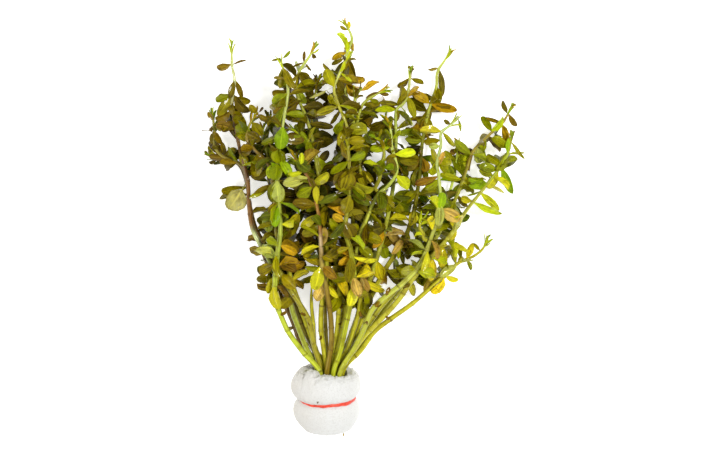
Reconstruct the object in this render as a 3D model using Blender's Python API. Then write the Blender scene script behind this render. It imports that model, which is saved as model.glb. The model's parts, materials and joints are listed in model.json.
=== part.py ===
# A cut bunch of rotala, an aquarium stem plant, lying on a table. The stems are wrapped
# at the base in a rolled strip of white foam, which a rubber band pinches.
# Metres, +Z up. The tips point to +Y, and the table is the plane z = 0.

import math
import random

import bmesh
import bpy
from mathutils import Quaternion, Vector
from mathutils.bvhtree import BVHTree

MM = 0.001

# The stems were traced by eye in pixels of a picture, seen from above and leaning a little
# towards the tips. A traced point goes where that view meets the height at which it lies.
PICTURE_MIDDLE = (354.5, 230.5)
PIXEL_SIZE = 0.5 * MM
VIEW_DISTANCE = 600 * MM
VIEW_TILT = math.radians(10)
VIEW_TARGET = Vector((14.8, 81.9, 16.0)) * MM

# Foam strip: (place along Y, outer radius, middle along X), from the rim by the leaves to the cut ends
FOAM_PROFILE = [
    (10.2, 12.9, 1.2), (9.0, 14.6, 0.9), (4.6, 17.2, 0.0), (-0.8, 17.4, 0.0), (-3.8, 15.4, 0.2),
    (-5.3, 14.3, 0.3), (-6.8, 15.2, 0.3), (-10.0, 16.5, 0.3), (-14.0, 16.1, 0.3), (-18.5, 13.8, 0.5),
    (-21.2, 12.2, 0.7), (-22.0, 11.4, 0.7),
]
FOAM_SIDES = 20
FOAM_SQUASH = 0.97           # its height beside its width
FOAM_HEIGHT = 15.6 * MM      # of its middle above the table
FOAM_SINK = 0.5 * MM
FOAM_BORE = 9.6 * MM
FOAM_MOUTH = 10.6 * MM       # the bore's radius at the rim
BAND_PLACE = -5.3 * MM
BAND_SHIFT = 0.3 * MM
BAND_RADIUS = 14.3 * MM      # the foam's radius where the band pinches it
BAND_THICK = 1.1 * MM
TOUCH_GAP = 0.3 * MM

# Bundle of stems in the foam: rows one above the other, the first row on top
ROW_STEP = 2.8 * MM
SLOT_STEP = 3.3 * MM
BUNDLE_RIM_X = 2.4 * MM
BUNDLE_END_X = 1.0 * MM
CUT_END_Y = -20.5 * MM
RIM_Y = 9.5 * MM

# Heights of the stems' middles further out, one for each row
FAN_HEIGHTS = [36 * MM, 28.5 * MM, 21 * MM, 13.5 * MM, 6.0 * MM]
FAN_FLOOR = 4.0 * MM
FAN_START, FAN_RUN = 372.0, 190.0       # pixels down the picture
FAN_SIDE, FAN_SIDE_RUN, FAN_SIDE_DROP = 338.0, 175.0, 0.55
FAN_TIP, FAN_TIP_RUN, FAN_TIP_DROP = 150.0, 130.0, 0.3

STEM_THICK = 2.3 * MM
STEM_TIP_THICK = 1.3 * MM
MOST_BEND = math.radians(22)  # between two rings
SHOOT_THICK = 1.7 * MM
SHOOT_BEND_STEP = 3 * MM
STEM_BEND_STEP = 15 * MM     # longest straight piece of a stem
LEAF_JOINT = 1.5 * MM        # length of stem that a leaf grows from
LEAF_LONG = 11 * MM
LEAF_WIDE = 0.5              # width beside length
LEAF_WIDTHS = (0.7, 1.3)     # narrowest and widest, beside that
LEAF_KEEL = 0.4 * MM
LEAF_GAPS = [10.8 * MM, 11.5 * MM, 12.3 * MM, 13.5 * MM, 14 * MM]   # between old pairs, for each row
YOUNG_GAP = 4.8 * MM         # between the pairs by the tip
YOUNG_LEAF = 11.2 * MM       # shorter leaves than this have one section
LEAF_FLAT = 0.72             # how far a leaf turns its face up or down
LEAF_TRIES = 14
LEAST_OUT = 0.35             # a leaf sets out at least this much away from its side of the stem

# name: row, place in the row, pixel row where the leaves start, traced route
STEMS = {
    "stem_01": (0, 0, 288, [(303, 352), (289, 333), (281, 316), (275, 299), (275, 282), (277.5, 254),
                (280.5, 228), (278, 190), (278, 152), (284, 118), (288, 92), (286, 76), (281.5, 64),
                (282, 56)]),
    "stem_02": (0, 1, 268, [(331, 347), (331, 322), (327.5, 295), (322, 265), (320.5, 235), (318, 212),
                (310, 182), (298, 163), (290, 151)]),
    "stem_03": (0, 2, 285, [(340, 352), (346, 325), (352, 296), (354.5, 280), (351, 252), (345, 229),
                (349, 203), (349.5, 178), (348, 150), (346.5, 126), (338, 104), (334, 89), (340, 73),
                (347, 60), (353, 52)]),
    "stem_04": (0, 3, 272, [(355, 347), (363.5, 330), (372, 310), (386, 296), (404, 282), (420, 264),
                (431, 238), (440, 205), (439, 178), (437, 163), (441, 145), (441, 133), (452, 124),
                (459, 116)]),
    "stem_05": (1, 0, 282, [(314, 345), (309, 321), (299, 303), (286, 284), (279, 268), (277, 240),
                (275, 205), (270, 168), (255, 150), (247, 140), (249, 126), (258, 112)]),
    "stem_06": (1, 1, 276, [(324, 350), (321, 328), (322, 303), (326, 275), (326, 240), (322, 200),
                (317, 168), (311, 145), (298, 133), (288, 128)]),
    "stem_07": (1, 2, 290, [(338, 350), (344, 325), (350, 300), (353, 270), (359.5, 236), (366, 220),
                (376, 197), (388, 186), (397, 170), (392, 148), (390.5, 130), (385, 116)]),
    "stem_08": (1, 3, 268, [(354, 350), (366, 334), (385, 315), (400, 298), (414, 277), (432, 256),
                (452, 233), (466, 211), (485, 187), (503, 163), (509.5, 148), (512, 130)]),
    "stem_09": (2, 0, 165, [(307, 349), (300, 332), (293, 313), (288, 294), (279, 278), (265, 252),
                (253, 230), (249, 205), (247.5, 178), (240, 150), (234.5, 122), (232, 105), (234.5, 80),
                (232, 65), (231.5, 40)]),
    "stem_10": (2, 1, 292, [(315, 348), (307, 325), (299, 303), (291, 280), (285, 250), (279, 215),
                (272, 180), (266, 150), (262, 136), (264, 123)]),
    "stem_11": (2, 2, 296, [(335, 346), (338, 322), (339, 295), (336, 262), (331, 228), (324, 190),
                (316, 155), (307, 120), (298, 98), (296, 84), (300, 70), (309, 57), (317.5, 42)]),
    "stem_12": (2, 3, 300, [(347, 350), (353, 332), (359, 310), (362, 280), (362, 240), (361, 200),
                (360, 160), (357, 130), (362, 106), (375, 95), (390, 87)]),
    "stem_13": (2, 4, 276, [(361, 350), (374, 332), (392, 318), (413, 303), (436, 283), (457, 264),
                (474, 256), (484, 247), (487, 235)]),
    "stem_14": (3, 0, 170, [(313, 347), (304, 330), (298, 312), (292, 293), (283, 272), (268, 249),
                (256, 229), (250, 205), (247, 182), (243, 168), (234, 160), (222, 156), (215, 147),
                (214.5, 133), (213, 118), (212, 108)]),
    "stem_15": (3, 1, 285, [(326, 350), (325, 325), (324, 300), (322, 270), (318, 240), (313, 200),
                (309, 160), (312, 130), (311, 108), (316, 91), (318, 78)]),
    "stem_16": (3, 2, 295, [(336, 348), (342, 322), (347, 295), (351, 262), (353, 225), (353, 190),
                (351, 150), (349, 115), (345, 85), (344, 65), (349.5, 47), (352, 39), (349, 30),
                (342, 19)]),
    "stem_17": (3, 3, 290, [(345, 350), (354, 326), (363, 300), (373, 270), (382, 240), (389, 210),
                (394, 180), (396, 145), (396, 112), (404, 103), (408.5, 90), (411, 66)]),
    "stem_18": (3, 4, 262, [(352, 350), (366, 328), (384, 303), (408, 277), (430, 248), (448, 215),
                (460, 188), (468, 165), (474, 150), (489, 135), (503, 122), (510, 110), (514, 103)]),
    "stem_19": (4, 0, 170, [(304, 350), (293, 322), (285, 304), (277, 288), (269, 268), (261, 247),
                (254, 229), (249.5, 205), (247, 186), (241, 168), (231, 160), (220, 159), (212, 157),
                (208, 151)]),
    "stem_20": (4, 1, 290, [(312, 347), (302, 320), (294, 295), (287, 270), (280, 240), (274, 205),
                (268, 175), (266, 145), (269, 128), (269, 114)]),
    "stem_21": (4, 2, 280, [(349, 352), (359, 327), (371, 297), (386, 268), (402, 244), (413, 215),
                (419, 180), (422, 145), (428, 113), (436, 88), (437.5, 72), (445, 60), (452, 48)]),
    "stem_22": (4, 3, 286, [(362, 345), (376, 321), (390, 302), (408, 280), (424, 255), (438, 225),
                (449, 195), (456, 165), (458, 140)]),
}

# Side shoots: parent, where they leave it, traced route
SHOOTS = {
    "side_shoot_1": ("stem_07", (380, 193), [(379, 180), (381, 168), (384, 156), (383, 146), (378, 138)]),
    "side_shoot_2": ("stem_04", (430, 241), [(423, 234), (419.5, 227), (423, 220), (430, 217)]),
    "side_shoot_3": ("stem_12", (358, 122), [(354, 108), (356, 96), (362, 88)]),
}

# Leaves that stand out: stem, where the leaf leaves it, where its tip is, width in mm
MARKED_LEAVES = [
    ("stem_09", (247, 180), (228, 210), 11.0), ("stem_09", (232, 63), (216, 69), 4.2),
    ("stem_09", (233, 63), (246, 59.5), 1.4), ("stem_09", (235, 80), (230, 98), 3.4),
    ("stem_09", (236, 80), (242, 98), 3.0), ("stem_09", (233, 95), (218, 115), 5.0),
    ("stem_09", (234, 96), (248, 112), 6.0), ("stem_09", (233, 112), (215, 121), 5.0),
    ("stem_09", (235, 113), (246, 126), 6.0), ("stem_09", (234, 122), (222, 131), 4.6),
    ("stem_09", (236, 132), (248, 140), 6.0), ("stem_09", (241, 153), (246, 166), 4.6),
    ("stem_14", (213, 117), (208, 112), 2.6), ("stem_14", (214, 127), (222, 131), 1.8),
    ("stem_14", (214, 127), (210, 131), 2.4), ("stem_14", (215, 133), (212, 144), 4.0),
    ("stem_14", (216, 133), (221, 144), 3.4), ("stem_14", (224, 157), (236, 149), 4.4),
    ("stem_14", (232, 160), (219, 161), 3.8), ("stem_19", (212, 157), (207, 147), 3.0),
    ("stem_05", (250, 124), (262, 135), 5.5), ("stem_05", (257, 114), (268, 121), 3.4),
    ("stem_05", (255, 116), (250, 105), 3.4), ("stem_05", (252, 146), (241, 154), 4.6),
    ("stem_20", (269, 122), (268, 111), 2.0), ("stem_10", (272, 184), (251, 198), 3.2),
    ("stem_10", (266, 150), (274, 163), 6.0), ("stem_10", (268, 168), (252, 178), 5.5),
    ("stem_01", (281, 58), (272, 60.5), 1.2), ("stem_01", (282, 58), (291, 51), 1.8),
    ("stem_01", (284, 71), (280, 88), 3.8), ("stem_01", (286, 72), (293, 88), 4.0),
    ("stem_01", (287, 84), (273, 77), 1.8), ("stem_01", (288, 90), (272, 93), 4.8),
    ("stem_01", (287, 96), (273, 105), 6.2), ("stem_01", (286, 106), (277, 127), 5.5),
    ("stem_01", (283, 127), (280, 149), 7.0), ("stem_01", (279, 148), (281, 164), 6.5),
    ("stem_01", (279, 164), (269, 178), 5.5), ("stem_01", (278, 180), (279, 202), 7.0),
    ("stem_11", (302, 62), (293, 67), 1.2), ("stem_11", (305, 60), (305, 51), 1.8),
    ("stem_11", (303, 63), (311, 71), 1.4), ("stem_11", (309, 57), (316, 58), 2.2),
    ("stem_11", (313, 51), (319, 49), 1.4), ("stem_11", (299, 71), (295, 88), 4.2),
    ("stem_11", (300, 71), (309, 86), 5.5), ("stem_11", (296, 88), (305, 104), 4.4),
    ("stem_11", (305, 114), (285, 117), 6.4), ("stem_11", (316, 158), (325, 176), 6.5),
    ("stem_11", (338, 272), (345, 294), 5.0), ("stem_11", (336, 262), (355, 267), 3.8),
    ("stem_02", (300, 165), (321, 151), 6.0), ("stem_02", (322, 268), (315, 290), 7.0),
    ("stem_02", (321, 241), (324, 228), 4.0), ("stem_06", (323, 284), (316, 301), 6.0),
    ("stem_03", (338, 78), (323, 65), 2.4), ("stem_03", (337, 79), (321, 83), 3.0),
    ("stem_03", (340, 75), (352, 82), 2.0), ("stem_03", (334, 89), (310, 99), 1.5),
    ("stem_03", (349, 179), (336, 187), 7.6), ("stem_03", (347, 222), (333, 215), 4.4),
    ("stem_03", (347, 236), (331, 220), 4.6), ("stem_10", (283, 238), (297, 216), 6.5),
    ("stem_15", (318, 243), (303, 255), 6.0), ("stem_09", (262, 246), (273, 257), 6.5),
    ("stem_05", (278, 250), (270, 237), 5.5), ("stem_19", (271, 272), (258, 268), 5.5),
    ("stem_19", (276, 286), (257, 284), 5.0), ("stem_20", (288, 272), (293, 290), 5.0),
    ("stem_10", (292, 281), (302, 288), 4.0), ("stem_16", (349, 29), (340, 26), 2.0),
    ("stem_16", (350, 31), (349, 21), 2.0), ("stem_16", (351, 41), (344, 49), 2.2),
    ("stem_16", (352, 41), (353, 51), 2.2), ("stem_16", (347, 53), (333, 60), 3.4),
    ("stem_16", (344, 63), (332, 64), 2.6), ("stem_16", (345, 62), (355, 77), 5.4),
    ("stem_16", (345, 78), (361, 88), 7.2), ("side_shoot_3", (361, 89), (381, 80), 3.8),
    ("stem_12", (379, 92), (366, 98), 2.0), ("stem_12", (381, 91), (389, 95), 2.0),
    ("stem_17", (397, 106), (380, 102), 3.0), ("stem_17", (396, 111), (376, 110), 3.8),
    ("stem_17", (397, 108), (396, 121), 3.2), ("stem_17", (410, 82), (398, 88), 3.6),
    ("stem_17", (410, 82), (424, 84), 2.8), ("stem_17", (407, 95), (398, 105), 3.4),
    ("stem_17", (408, 96), (415, 117), 4.0), ("stem_17", (411, 72), (408, 66), 1.6),
    ("stem_17", (411, 73), (415, 69), 1.6), ("stem_21", (438, 67), (428, 70), 2.0),
    ("stem_21", (438, 70), (442, 95), 3.6), ("stem_21", (435, 91), (438, 104), 4.4),
    ("stem_21", (431, 104), (412, 93), 5.4), ("stem_21", (431, 105), (456, 111), 5.0),
    ("stem_21", (427, 117), (409, 119), 3.6), ("stem_21", (426, 118), (429, 131), 5.0),
    ("stem_21", (423, 133), (398, 134), 4.4), ("stem_04", (456, 122), (461, 131), 1.4),
    ("stem_04", (451, 125), (444, 120), 2.4), ("stem_04", (441, 133), (455, 146), 2.8),
    ("stem_04", (441, 133), (420, 130), 5.0), ("stem_04", (441, 141), (424, 142), 4.0),
    ("stem_04", (440, 150), (429, 146), 3.6), ("stem_04", (438, 166), (444, 152), 2.6),
    ("stem_04", (439, 176), (415, 186), 4.2), ("stem_21", (421, 157), (427, 172), 6.2),
    ("stem_21", (420, 161), (404, 170), 6.0), ("stem_07", (395, 173), (409, 189), 6.4),
    ("stem_12", (361, 170), (372, 182), 6.0), ("stem_22", (452, 184), (448, 166), 7.0),
    ("stem_22", (457, 153), (461, 170), 5.6), ("stem_22", (458, 147), (450, 152), 3.4),
    ("stem_22", (458, 148), (472, 150), 4.4), ("stem_18", (472, 154), (469, 171), 3.2),
    ("stem_18", (492, 132), (481, 117), 4.0), ("stem_18", (503, 122), (487, 117), 2.2),
    ("stem_18", (504, 121), (508, 146), 3.8), ("stem_18", (511, 110), (502, 100), 3.0),
    ("stem_18", (512, 109), (516, 104), 1.4), ("stem_18", (512, 111), (517, 127), 3.0),
    ("stem_08", (510, 147), (524, 159), 2.2), ("stem_08", (509, 149), (492, 138), 5.0),
    ("stem_08", (508, 156), (496, 170), 6.0), ("stem_08", (500, 168), (513, 194), 5.0),
    ("stem_08", (498, 172), (488, 189), 5.0), ("stem_08", (494, 176), (480, 170), 4.0),
    ("stem_08", (471, 205), (502, 215), 4.6), ("stem_08", (474, 203), (461, 198), 4.0),
    ("stem_08", (481, 193), (468, 196), 1.2), ("stem_08", (455, 228), (449, 239), 4.2),
    ("stem_08", (430, 259), (431, 281), 6.2), ("stem_08", (444, 243), (468, 251), 3.0),
    ("stem_13", (467, 259), (471, 270), 2.6), ("stem_13", (480, 252), (473, 244), 2.0),
    ("stem_13", (485, 246), (491, 243), 1.4), ("stem_13", (457, 264), (440, 277), 5.0),
    ("stem_18", (430, 249), (413, 255), 4.8), ("stem_17", (385, 229), (375, 247), 4.8),
    ("stem_17", (381, 244), (386, 257), 6.0), ("stem_21", (409, 226), (414, 211), 5.5),
    ("stem_21", (404, 240), (419, 246), 5.0), ("stem_21", (400, 247), (388, 240), 4.0),
    ("stem_17", (376, 262), (381, 280), 7.0), ("stem_22", (414, 270), (401, 273), 2.4),
]

# Openings between the leaves, where the table shows: left, top, right and bottom
OPENINGS = [
    (100, 0, 203, 300), (203, 0, 213, 104), (203, 168, 244, 300), (244, 246, 252, 300), (252, 264, 256, 300),
    (252, 292, 268, 330), (214, 74, 226, 90), (223, 132, 233, 145), (231, 141, 238, 149), (245, 115, 250, 125),
    (250, 121, 265, 128), (226, 104, 230, 112), (247, 0, 268, 99), (244, 64, 252, 95), (268, 0, 279, 50),
    (262, 63, 277, 75), (294, 0, 303, 58), (286, 58, 295, 69), (312, 62, 321, 75), (320, 0, 333, 60),
    (252, 179, 268, 186), (252, 198, 269, 207), (258, 190, 269, 200), (261, 172, 269, 182),
    (251, 214, 257, 224), (322, 114, 333, 127), (331, 109, 340, 118), (325, 143, 334, 157),
    (345, 90, 357, 101), (315, 99, 321, 107), (292, 272, 300, 281), (301, 291, 309, 330), (359, 0, 396, 78),
    (417, 0, 427, 78), (426, 72, 432, 91), (444, 64, 480, 101), (456, 0, 560, 97), (400, 104, 408, 127),
    (418, 105, 426, 114), (431, 112, 450, 126), (448, 127, 463, 139), (462, 98, 479, 143), (478, 98, 500, 114),
    (393, 121, 405, 126), (398, 135, 408, 147), (376, 151, 384, 160), (378, 160, 386, 169),
    (376, 180, 382, 191), (389, 187, 401, 198), (420, 142, 428, 150), (425, 149, 434, 159),
    (444, 138, 451, 149), (471, 165, 480, 176), (518, 98, 560, 146), (514, 160, 560, 205),
    (470, 190, 500, 203), (504, 200, 560, 300), (477, 212, 504, 300), (459, 228, 478, 243),
    (442, 226, 448, 237), (398, 225, 405, 235), (379, 257, 392, 265), (405, 256, 419, 265),
    (458, 266, 480, 300), (444, 282, 460, 300), (384, 279, 400, 288),
]

# Pixel rows between which a stem has only leaves of the list above
BARE = {
    "stem_01": [(40, 83)], "stem_03": [(40, 62)], "stem_04": [(105, 200)], "stem_08": [(120, 150), (186, 228)],
    "stem_09": [(30, 94), (165, 400)], "stem_11": [(30, 70)], "stem_12": [(80, 94)], "stem_13": [(228, 258)],
    "stem_14": [(100, 132)], "stem_16": [(10, 50)], "stem_17": [(60, 94)], "stem_18": [(98, 128)],
    "stem_21": [(40, 90)],
}


def smooth(t):
    t = min(max(t, 0.0), 1.0)
    return t * t * (3 - 2 * t)


def mix(a, b, t):
    return a + (b - a) * t


def placed(px, py, height):
    # the point at this height that the picture shows at this pixel
    back = Vector((0, math.sin(VIEW_TILT), math.cos(VIEW_TILT)))
    rise = Vector((0, math.cos(VIEW_TILT), -math.sin(VIEW_TILT)))
    eye = VIEW_TARGET + back * VIEW_DISTANCE
    across = (px - PICTURE_MIDDLE[0]) * PIXEL_SIZE / VIEW_DISTANCE
    up = (PICTURE_MIDDLE[1] - py) * PIXEL_SIZE / VIEW_DISTANCE
    ray = Vector((across, 0, 0)) + rise * up - back
    return eye + ray * ((height - eye.z) / ray.z)


def seen_at(point):
    # the pixel at which the picture shows this point
    back = Vector((0, math.sin(VIEW_TILT), math.cos(VIEW_TILT)))
    rise = Vector((0, math.cos(VIEW_TILT), -math.sin(VIEW_TILT)))
    away = point - VIEW_TARGET
    zoom = VIEW_DISTANCE / (VIEW_DISTANCE - away.dot(back)) / PIXEL_SIZE
    return PICTURE_MIDDLE[0] + away.x * zoom, PICTURE_MIDDLE[1] - away.dot(rise) * zoom


def in_opening(point):
    px, py = seen_at(point)
    return any(left < px < right and top < py < bottom for left, top, right, bottom in OPENINGS)


def lying_height(row, px, py):
    # the rows spread apart away from the foam, and sink at the sides and the tips
    bundled = FOAM_HEIGHT + (2 - row) * ROW_STEP
    side = FAN_SIDE_DROP * smooth(abs(px - FAN_SIDE) / FAN_SIDE_RUN)
    tip = FAN_TIP_DROP * smooth((FAN_TIP - py) / FAN_TIP_RUN)
    spread = FAN_FLOOR + (FAN_HEIGHTS[row] - FAN_FLOOR) * (1 - side) * (1 - tip)
    return mix(bundled, spread, smooth((FAN_START - py) / FAN_RUN))


def curve_through(points, step):
    # a smooth curve through the points, read at even steps
    fine = []
    ends = [points[0] * 2 - points[1]] + points + [points[-1] * 2 - points[-2]]
    for a, b, c, d in zip(ends, ends[1:], ends[2:], ends[3:]):
        for i in range(12):
            t = i / 12
            fine.append(0.5 * (2 * b + (c - a) * t + (2 * a - 5 * b + 4 * c - d) * t * t
                               + (3 * b - a - 3 * c + d) * t ** 3))
    fine.append(points[-1])
    reach = [0.0]
    for p, q in zip(fine, fine[1:]):
        reach.append(reach[-1] + (q - p).length)
    count = round(reach[-1] / step)
    even, k = [], 0
    for i in range(count + 1):
        s = reach[-1] * i / count
        while k < len(fine) - 2 and reach[k + 1] < s:
            k += 1
        t = (s - reach[k]) / (reach[k + 1] - reach[k])
        even.append(fine[k].lerp(fine[k + 1], min(t, 1.0)))
    return even, reach[-1]


class Stem:
    # a stem's middle line, with its direction and its four sides at any distance from its cut end

    def __init__(self, name, points, roll, thick=STEM_THICK, bend_step=STEM_BEND_STEP):
        self.name = name
        self.thick, self.bend_step = thick, bend_step
        self.roll = roll
        self.line, self.length = curve_through(points, 1 * MM)
        self.step = self.length / (len(self.line) - 1)
        self.along = []
        for i in range(len(self.line)):
            before, after = self.line[max(i - 1, 0)], self.line[min(i + 1, len(self.line) - 1)]
            self.along.append((after - before).normalized())
        across = Vector((1, 0, 0))
        self.side = [(across - self.along[0] * self.along[0].x).normalized()]
        for a, b in zip(self.along, self.along[1:]):
            turned = a.rotation_difference(b) @ self.side[-1]
            self.side.append((turned - b * turned.dot(b)).normalized())
        self.joints = []

    def at(self, s):
        t = min(max(s / self.step, 0.0), len(self.line) - 1.001)
        i = int(t)
        t -= i
        along = self.along[i].lerp(self.along[i + 1], t).normalized()
        side = self.side[i].lerp(self.side[i + 1], t)
        side = (side - along * side.dot(along)).normalized()
        turn = self.roll * smooth((s - 45 * MM) / (35 * MM))
        side = Quaternion(along, turn) @ side
        half = 0.5 * mix(self.thick, STEM_TIP_THICK, smooth((s / self.length - 0.45) / 0.55))
        return self.line[i].lerp(self.line[i + 1], t), along, side, half

    def nearest(self, point):
        # the distance along the stem that is nearest to a point, seen from above
        flat = [(p.xy - point.xy).length for p in self.line]
        return flat.index(min(flat)) * self.step

    def ring(self, s):
        centre, along, side, half = self.at(s)
        up = along.cross(side)
        return [centre + (side * a + up * b) * half for a, b in ((1, -1), (1, 1), (-1, 1), (-1, -1))]

    def split(self, start, end):
        # rings after start up to end: more of them where the stem is long or bends
        turn = self.at(start)[1].angle(self.at(end)[1])
        pieces = 1 + max(int((end - start) / self.bend_step), int(turn / MOST_BEND))
        return [mix(start, end, (i + 1) / pieces) for i in range(pieces)]

    def stations(self):
        # where the rings go: both ends of each leaf joint, and between them.
        # The piece in the foam is straight.
        marks = [0.0, RIM_Y - CUT_END_Y] if self.name in STEMS else [0.0]
        for joint in self.joints:
            marks += self.split(marks[-1], joint["at"] - LEAF_JOINT / 2)
            marks.append(joint["at"] + LEAF_JOINT / 2)
        return marks + self.split(marks[-1], self.length)


def leaf_points(root, reach, face, length, width, curl):
    # sections of a leaf across its length, each left, right and keel, and its tip.
    # reach is the direction it sets out in, face its upper side, and curl how far it bends down.
    shares = ((0.5, 1.0), (0.5, 0.0)) if length < YOUNG_LEAF else ((0.36, 0.95), (0.36, 0.84), (0.28, 0.0))
    across = face.cross(reach).normalized()
    point, sections = root.copy(), []
    for share, part in shares:
        turn = Quaternion(across, curl * (len(sections) + 0.5) / len(shares))
        point = point + (turn @ reach) * length * share
        up = turn @ face
        half = across * width * part / 2
        sections.append([point - half, point + half, point - up * LEAF_KEEL])
    tip = sections.pop()[0]
    for section in sections:
        for i, p in enumerate(section):
            section[i] = Vector((p.x, p.y, max(p.z, 0.0 if i == 2 else LEAF_KEEL)))
    return sections, Vector((tip.x, tip.y, max(tip.z, LEAF_KEEL / 2)))


def leaf_shell(root, sections, tip, grow, blade_only=False):
    # a leaf as a closed shell that is larger by grow, to test what it would touch
    left, right, keel = sections[0]
    up = ((left + right) / 2 - keel).normalized()
    out = (right - left).normalized()
    start = root.lerp((left + right) / 2, 0.6 if blade_only else 0.0)
    stalk = out * (grow if blade_only else grow + STEM_THICK / 2)
    ring = [start - stalk] + [section[0] - out * grow for section in sections]
    ring += [tip + (tip - root).normalized() * grow]
    ring += [section[1] + out * grow for section in sections[::-1]] + [start + stalk]
    top = [p + up * grow for p in ring]
    low = [p - up * (grow + LEAF_KEEL * 0.5) for p in ring]
    n = len(ring)
    faces = [list(range(n)), list(range(2 * n - 1, n - 1, -1))]
    faces += [[i, (i + 1) % n, (i + 1) % n + n, i + n] for i in range(n)]
    return top + low, faces


class Crowd:
    # everything placed so far, to keep new leaves clear of it

    def __init__(self):
        self.items = []

    def add(self, owner, points, faces):
        low = [min(p[i] for p in points) for i in range(3)]
        high = [max(p[i] for p in points) for i in range(3)]
        self.items.append((owner, low, high, BVHTree.FromPolygons(points, faces)))

    def hits(self, points, faces, skip=None, only=None):
        low = [min(p[i] for p in points) for i in range(3)]
        high = [max(p[i] for p in points) for i in range(3)]
        tree = None
        for owner, other_low, other_high, other in self.items:
            if owner == skip or (only is not None and owner != only):
                continue
            if all(low[i] <= other_high[i] and other_low[i] <= high[i] for i in range(3)):
                tree = tree or BVHTree.FromPolygons(points, faces)
                if tree.overlap(other):
                    return True
        return False


def add_tube(crowd, stem):
    # a stem's tube in short lengths, so that each is tested only near it
    span = 12 * MM
    count = max(1, round(stem.length / span))
    for i in range(count):
        marks = [stem.length * (i + j / 3) / count for j in range(4)]
        points = [p for s in marks for p in stem.ring(s)]
        faces = [[4 * r + k, 4 * r + (k + 1) % 4, 4 * r + 4 + (k + 1) % 4, 4 * r + 4 + k]
                 for r in range(3) for k in range(4)]
        crowd.add(stem.name, points, faces)


def try_leaf(crowd, stem, joint, side_number, reach, face, length, width, curl):
    centre, along, side, half = stem.at(joint["at"])
    out = Quaternion(along, math.pi / 2 * side_number) @ side
    root = centre + out * half
    if face.dot(along) < 0 and abs(face.dot(along)) > 0.2:
        face = -face
    sections, tip = leaf_points(root, reach, face, length, width, curl)
    if crowd.hits(*leaf_shell(root, sections, tip, TOUCH_GAP), skip=stem.name):
        return False
    if crowd.hits(*leaf_shell(root, sections, tip, TOUCH_GAP / 2, blade_only=True), only=stem.name):
        return False
    joint["leaves"][side_number] = (sections, tip)
    crowd.add(stem.name, *leaf_shell(root, sections, tip, 0.0))
    return True


def grow_pair(crowd, stem, joint, turned, age, chance):
    # the two leaves of a joint: young ones point up the stem, old ones lie back
    centre, along, side, half = stem.at(joint["at"])
    row = seen_at(centre)[1]
    if any(top < row < bottom for top, bottom in BARE.get(stem.name, [])):
        return
    for side_number in (turned, turned + 2):
        if side_number in joint["leaves"]:
            continue
        out = Quaternion(along, math.pi / 2 * side_number) @ side
        for attempt in range(LEAF_TRIES):
            lean = math.radians(mix(26, 92, smooth(age * 1.5)) + chance.uniform(-34, 44))
            swing = chance.uniform(-0.6, 0.6) * (1 + attempt / 6)
            aim = Quaternion(along, swing) @ out
            reach = along * math.cos(lean) + aim * math.sin(lean)
            reach = Vector((reach.x, reach.y, reach.z * 0.5)).normalized()
            if reach.dot(out) < LEAST_OUT:
                continue
            upper = along * math.sin(lean) - aim * math.cos(lean)
            flat = Vector((0, 0, 1 if upper.z >= 0 else -1))
            face = upper.lerp(flat, LEAF_FLAT * chance.uniform(0.6, 1.2))
            face = (face - reach * face.dot(reach)).normalized()
            size = mix(0.36, 1.0, smooth(age * 2.6)) * chance.uniform(0.82, 1.12)
            size *= 1.0 if attempt < LEAF_TRIES // 2 else 0.72
            length = LEAF_LONG * size
            width = length * LEAF_WIDE * chance.uniform(*LEAF_WIDTHS)
            curl = math.radians(chance.uniform(-10, 45))
            root = centre + out * half
            if in_opening(root + reach * length) or in_opening(root + reach * length / 2):
                continue
            if try_leaf(crowd, stem, joint, side_number, reach, face, length, width, curl):
                break


def joint_near(stem, s):
    # the joint at this place, or a new one where there is room for it
    nearest = min(stem.joints, key=lambda joint: abs(joint["at"] - s))
    if abs(nearest["at"] - s) < 1.6 * LEAF_JOINT:
        return nearest
    joint = {"at": min(s, stem.length - LEAF_JOINT), "leaves": {}}
    stem.joints.append(joint)
    stem.joints.sort(key=lambda other: other["at"])
    return joint


def grow_marked(crowd, stem, base, tip, width):
    # a leaf from a stem to a traced tip, from the side of the stem that looks that way
    joint = joint_near(stem, stem.nearest(placed(*base, stem.at(stem.length / 2)[0].z)))
    joint = joint_near(stem, stem.nearest(placed(*base, stem.at(joint["at"])[0].z)))
    centre, along, side, half = stem.at(joint["at"])
    for lift in (-1.5, 1, -4, 3.5, 6, -7):
        target = placed(*tip, max(centre.z + lift * MM, LEAF_KEEL))
        way = (target - centre).normalized()
        sides = [n for n in range(4) if n not in joint["leaves"]]
        if not sides:
            return
        best = max(sides, key=lambda n: way.dot(Quaternion(along, math.pi / 2 * n) @ side))
        root = centre + (Quaternion(along, math.pi / 2 * best) @ side) * half
        reach = (target - root).normalized()
        face = Vector((0, 0, 1))
        face = (face - reach * face.dot(reach)).normalized()
        if try_leaf(crowd, stem, joint, best, reach, face, (target - root).length, width * MM, 0.15):
            return
    print("no room for the marked leaf", stem.name, base)


def add_quad(mesh, a, b, c, d):
    # two triangles, split so that they bulge outwards, because a thin leaf would fold through itself
    normal = (c.co - a.co).cross(d.co - b.co)
    if (a.co + c.co - b.co - d.co).dot(normal) > 0:
        corners = ((a, b, c), (a, c, d))
    else:
        corners = ((a, b, d), (b, c, d))
    for three in corners:
        mesh.faces.new(three)


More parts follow.
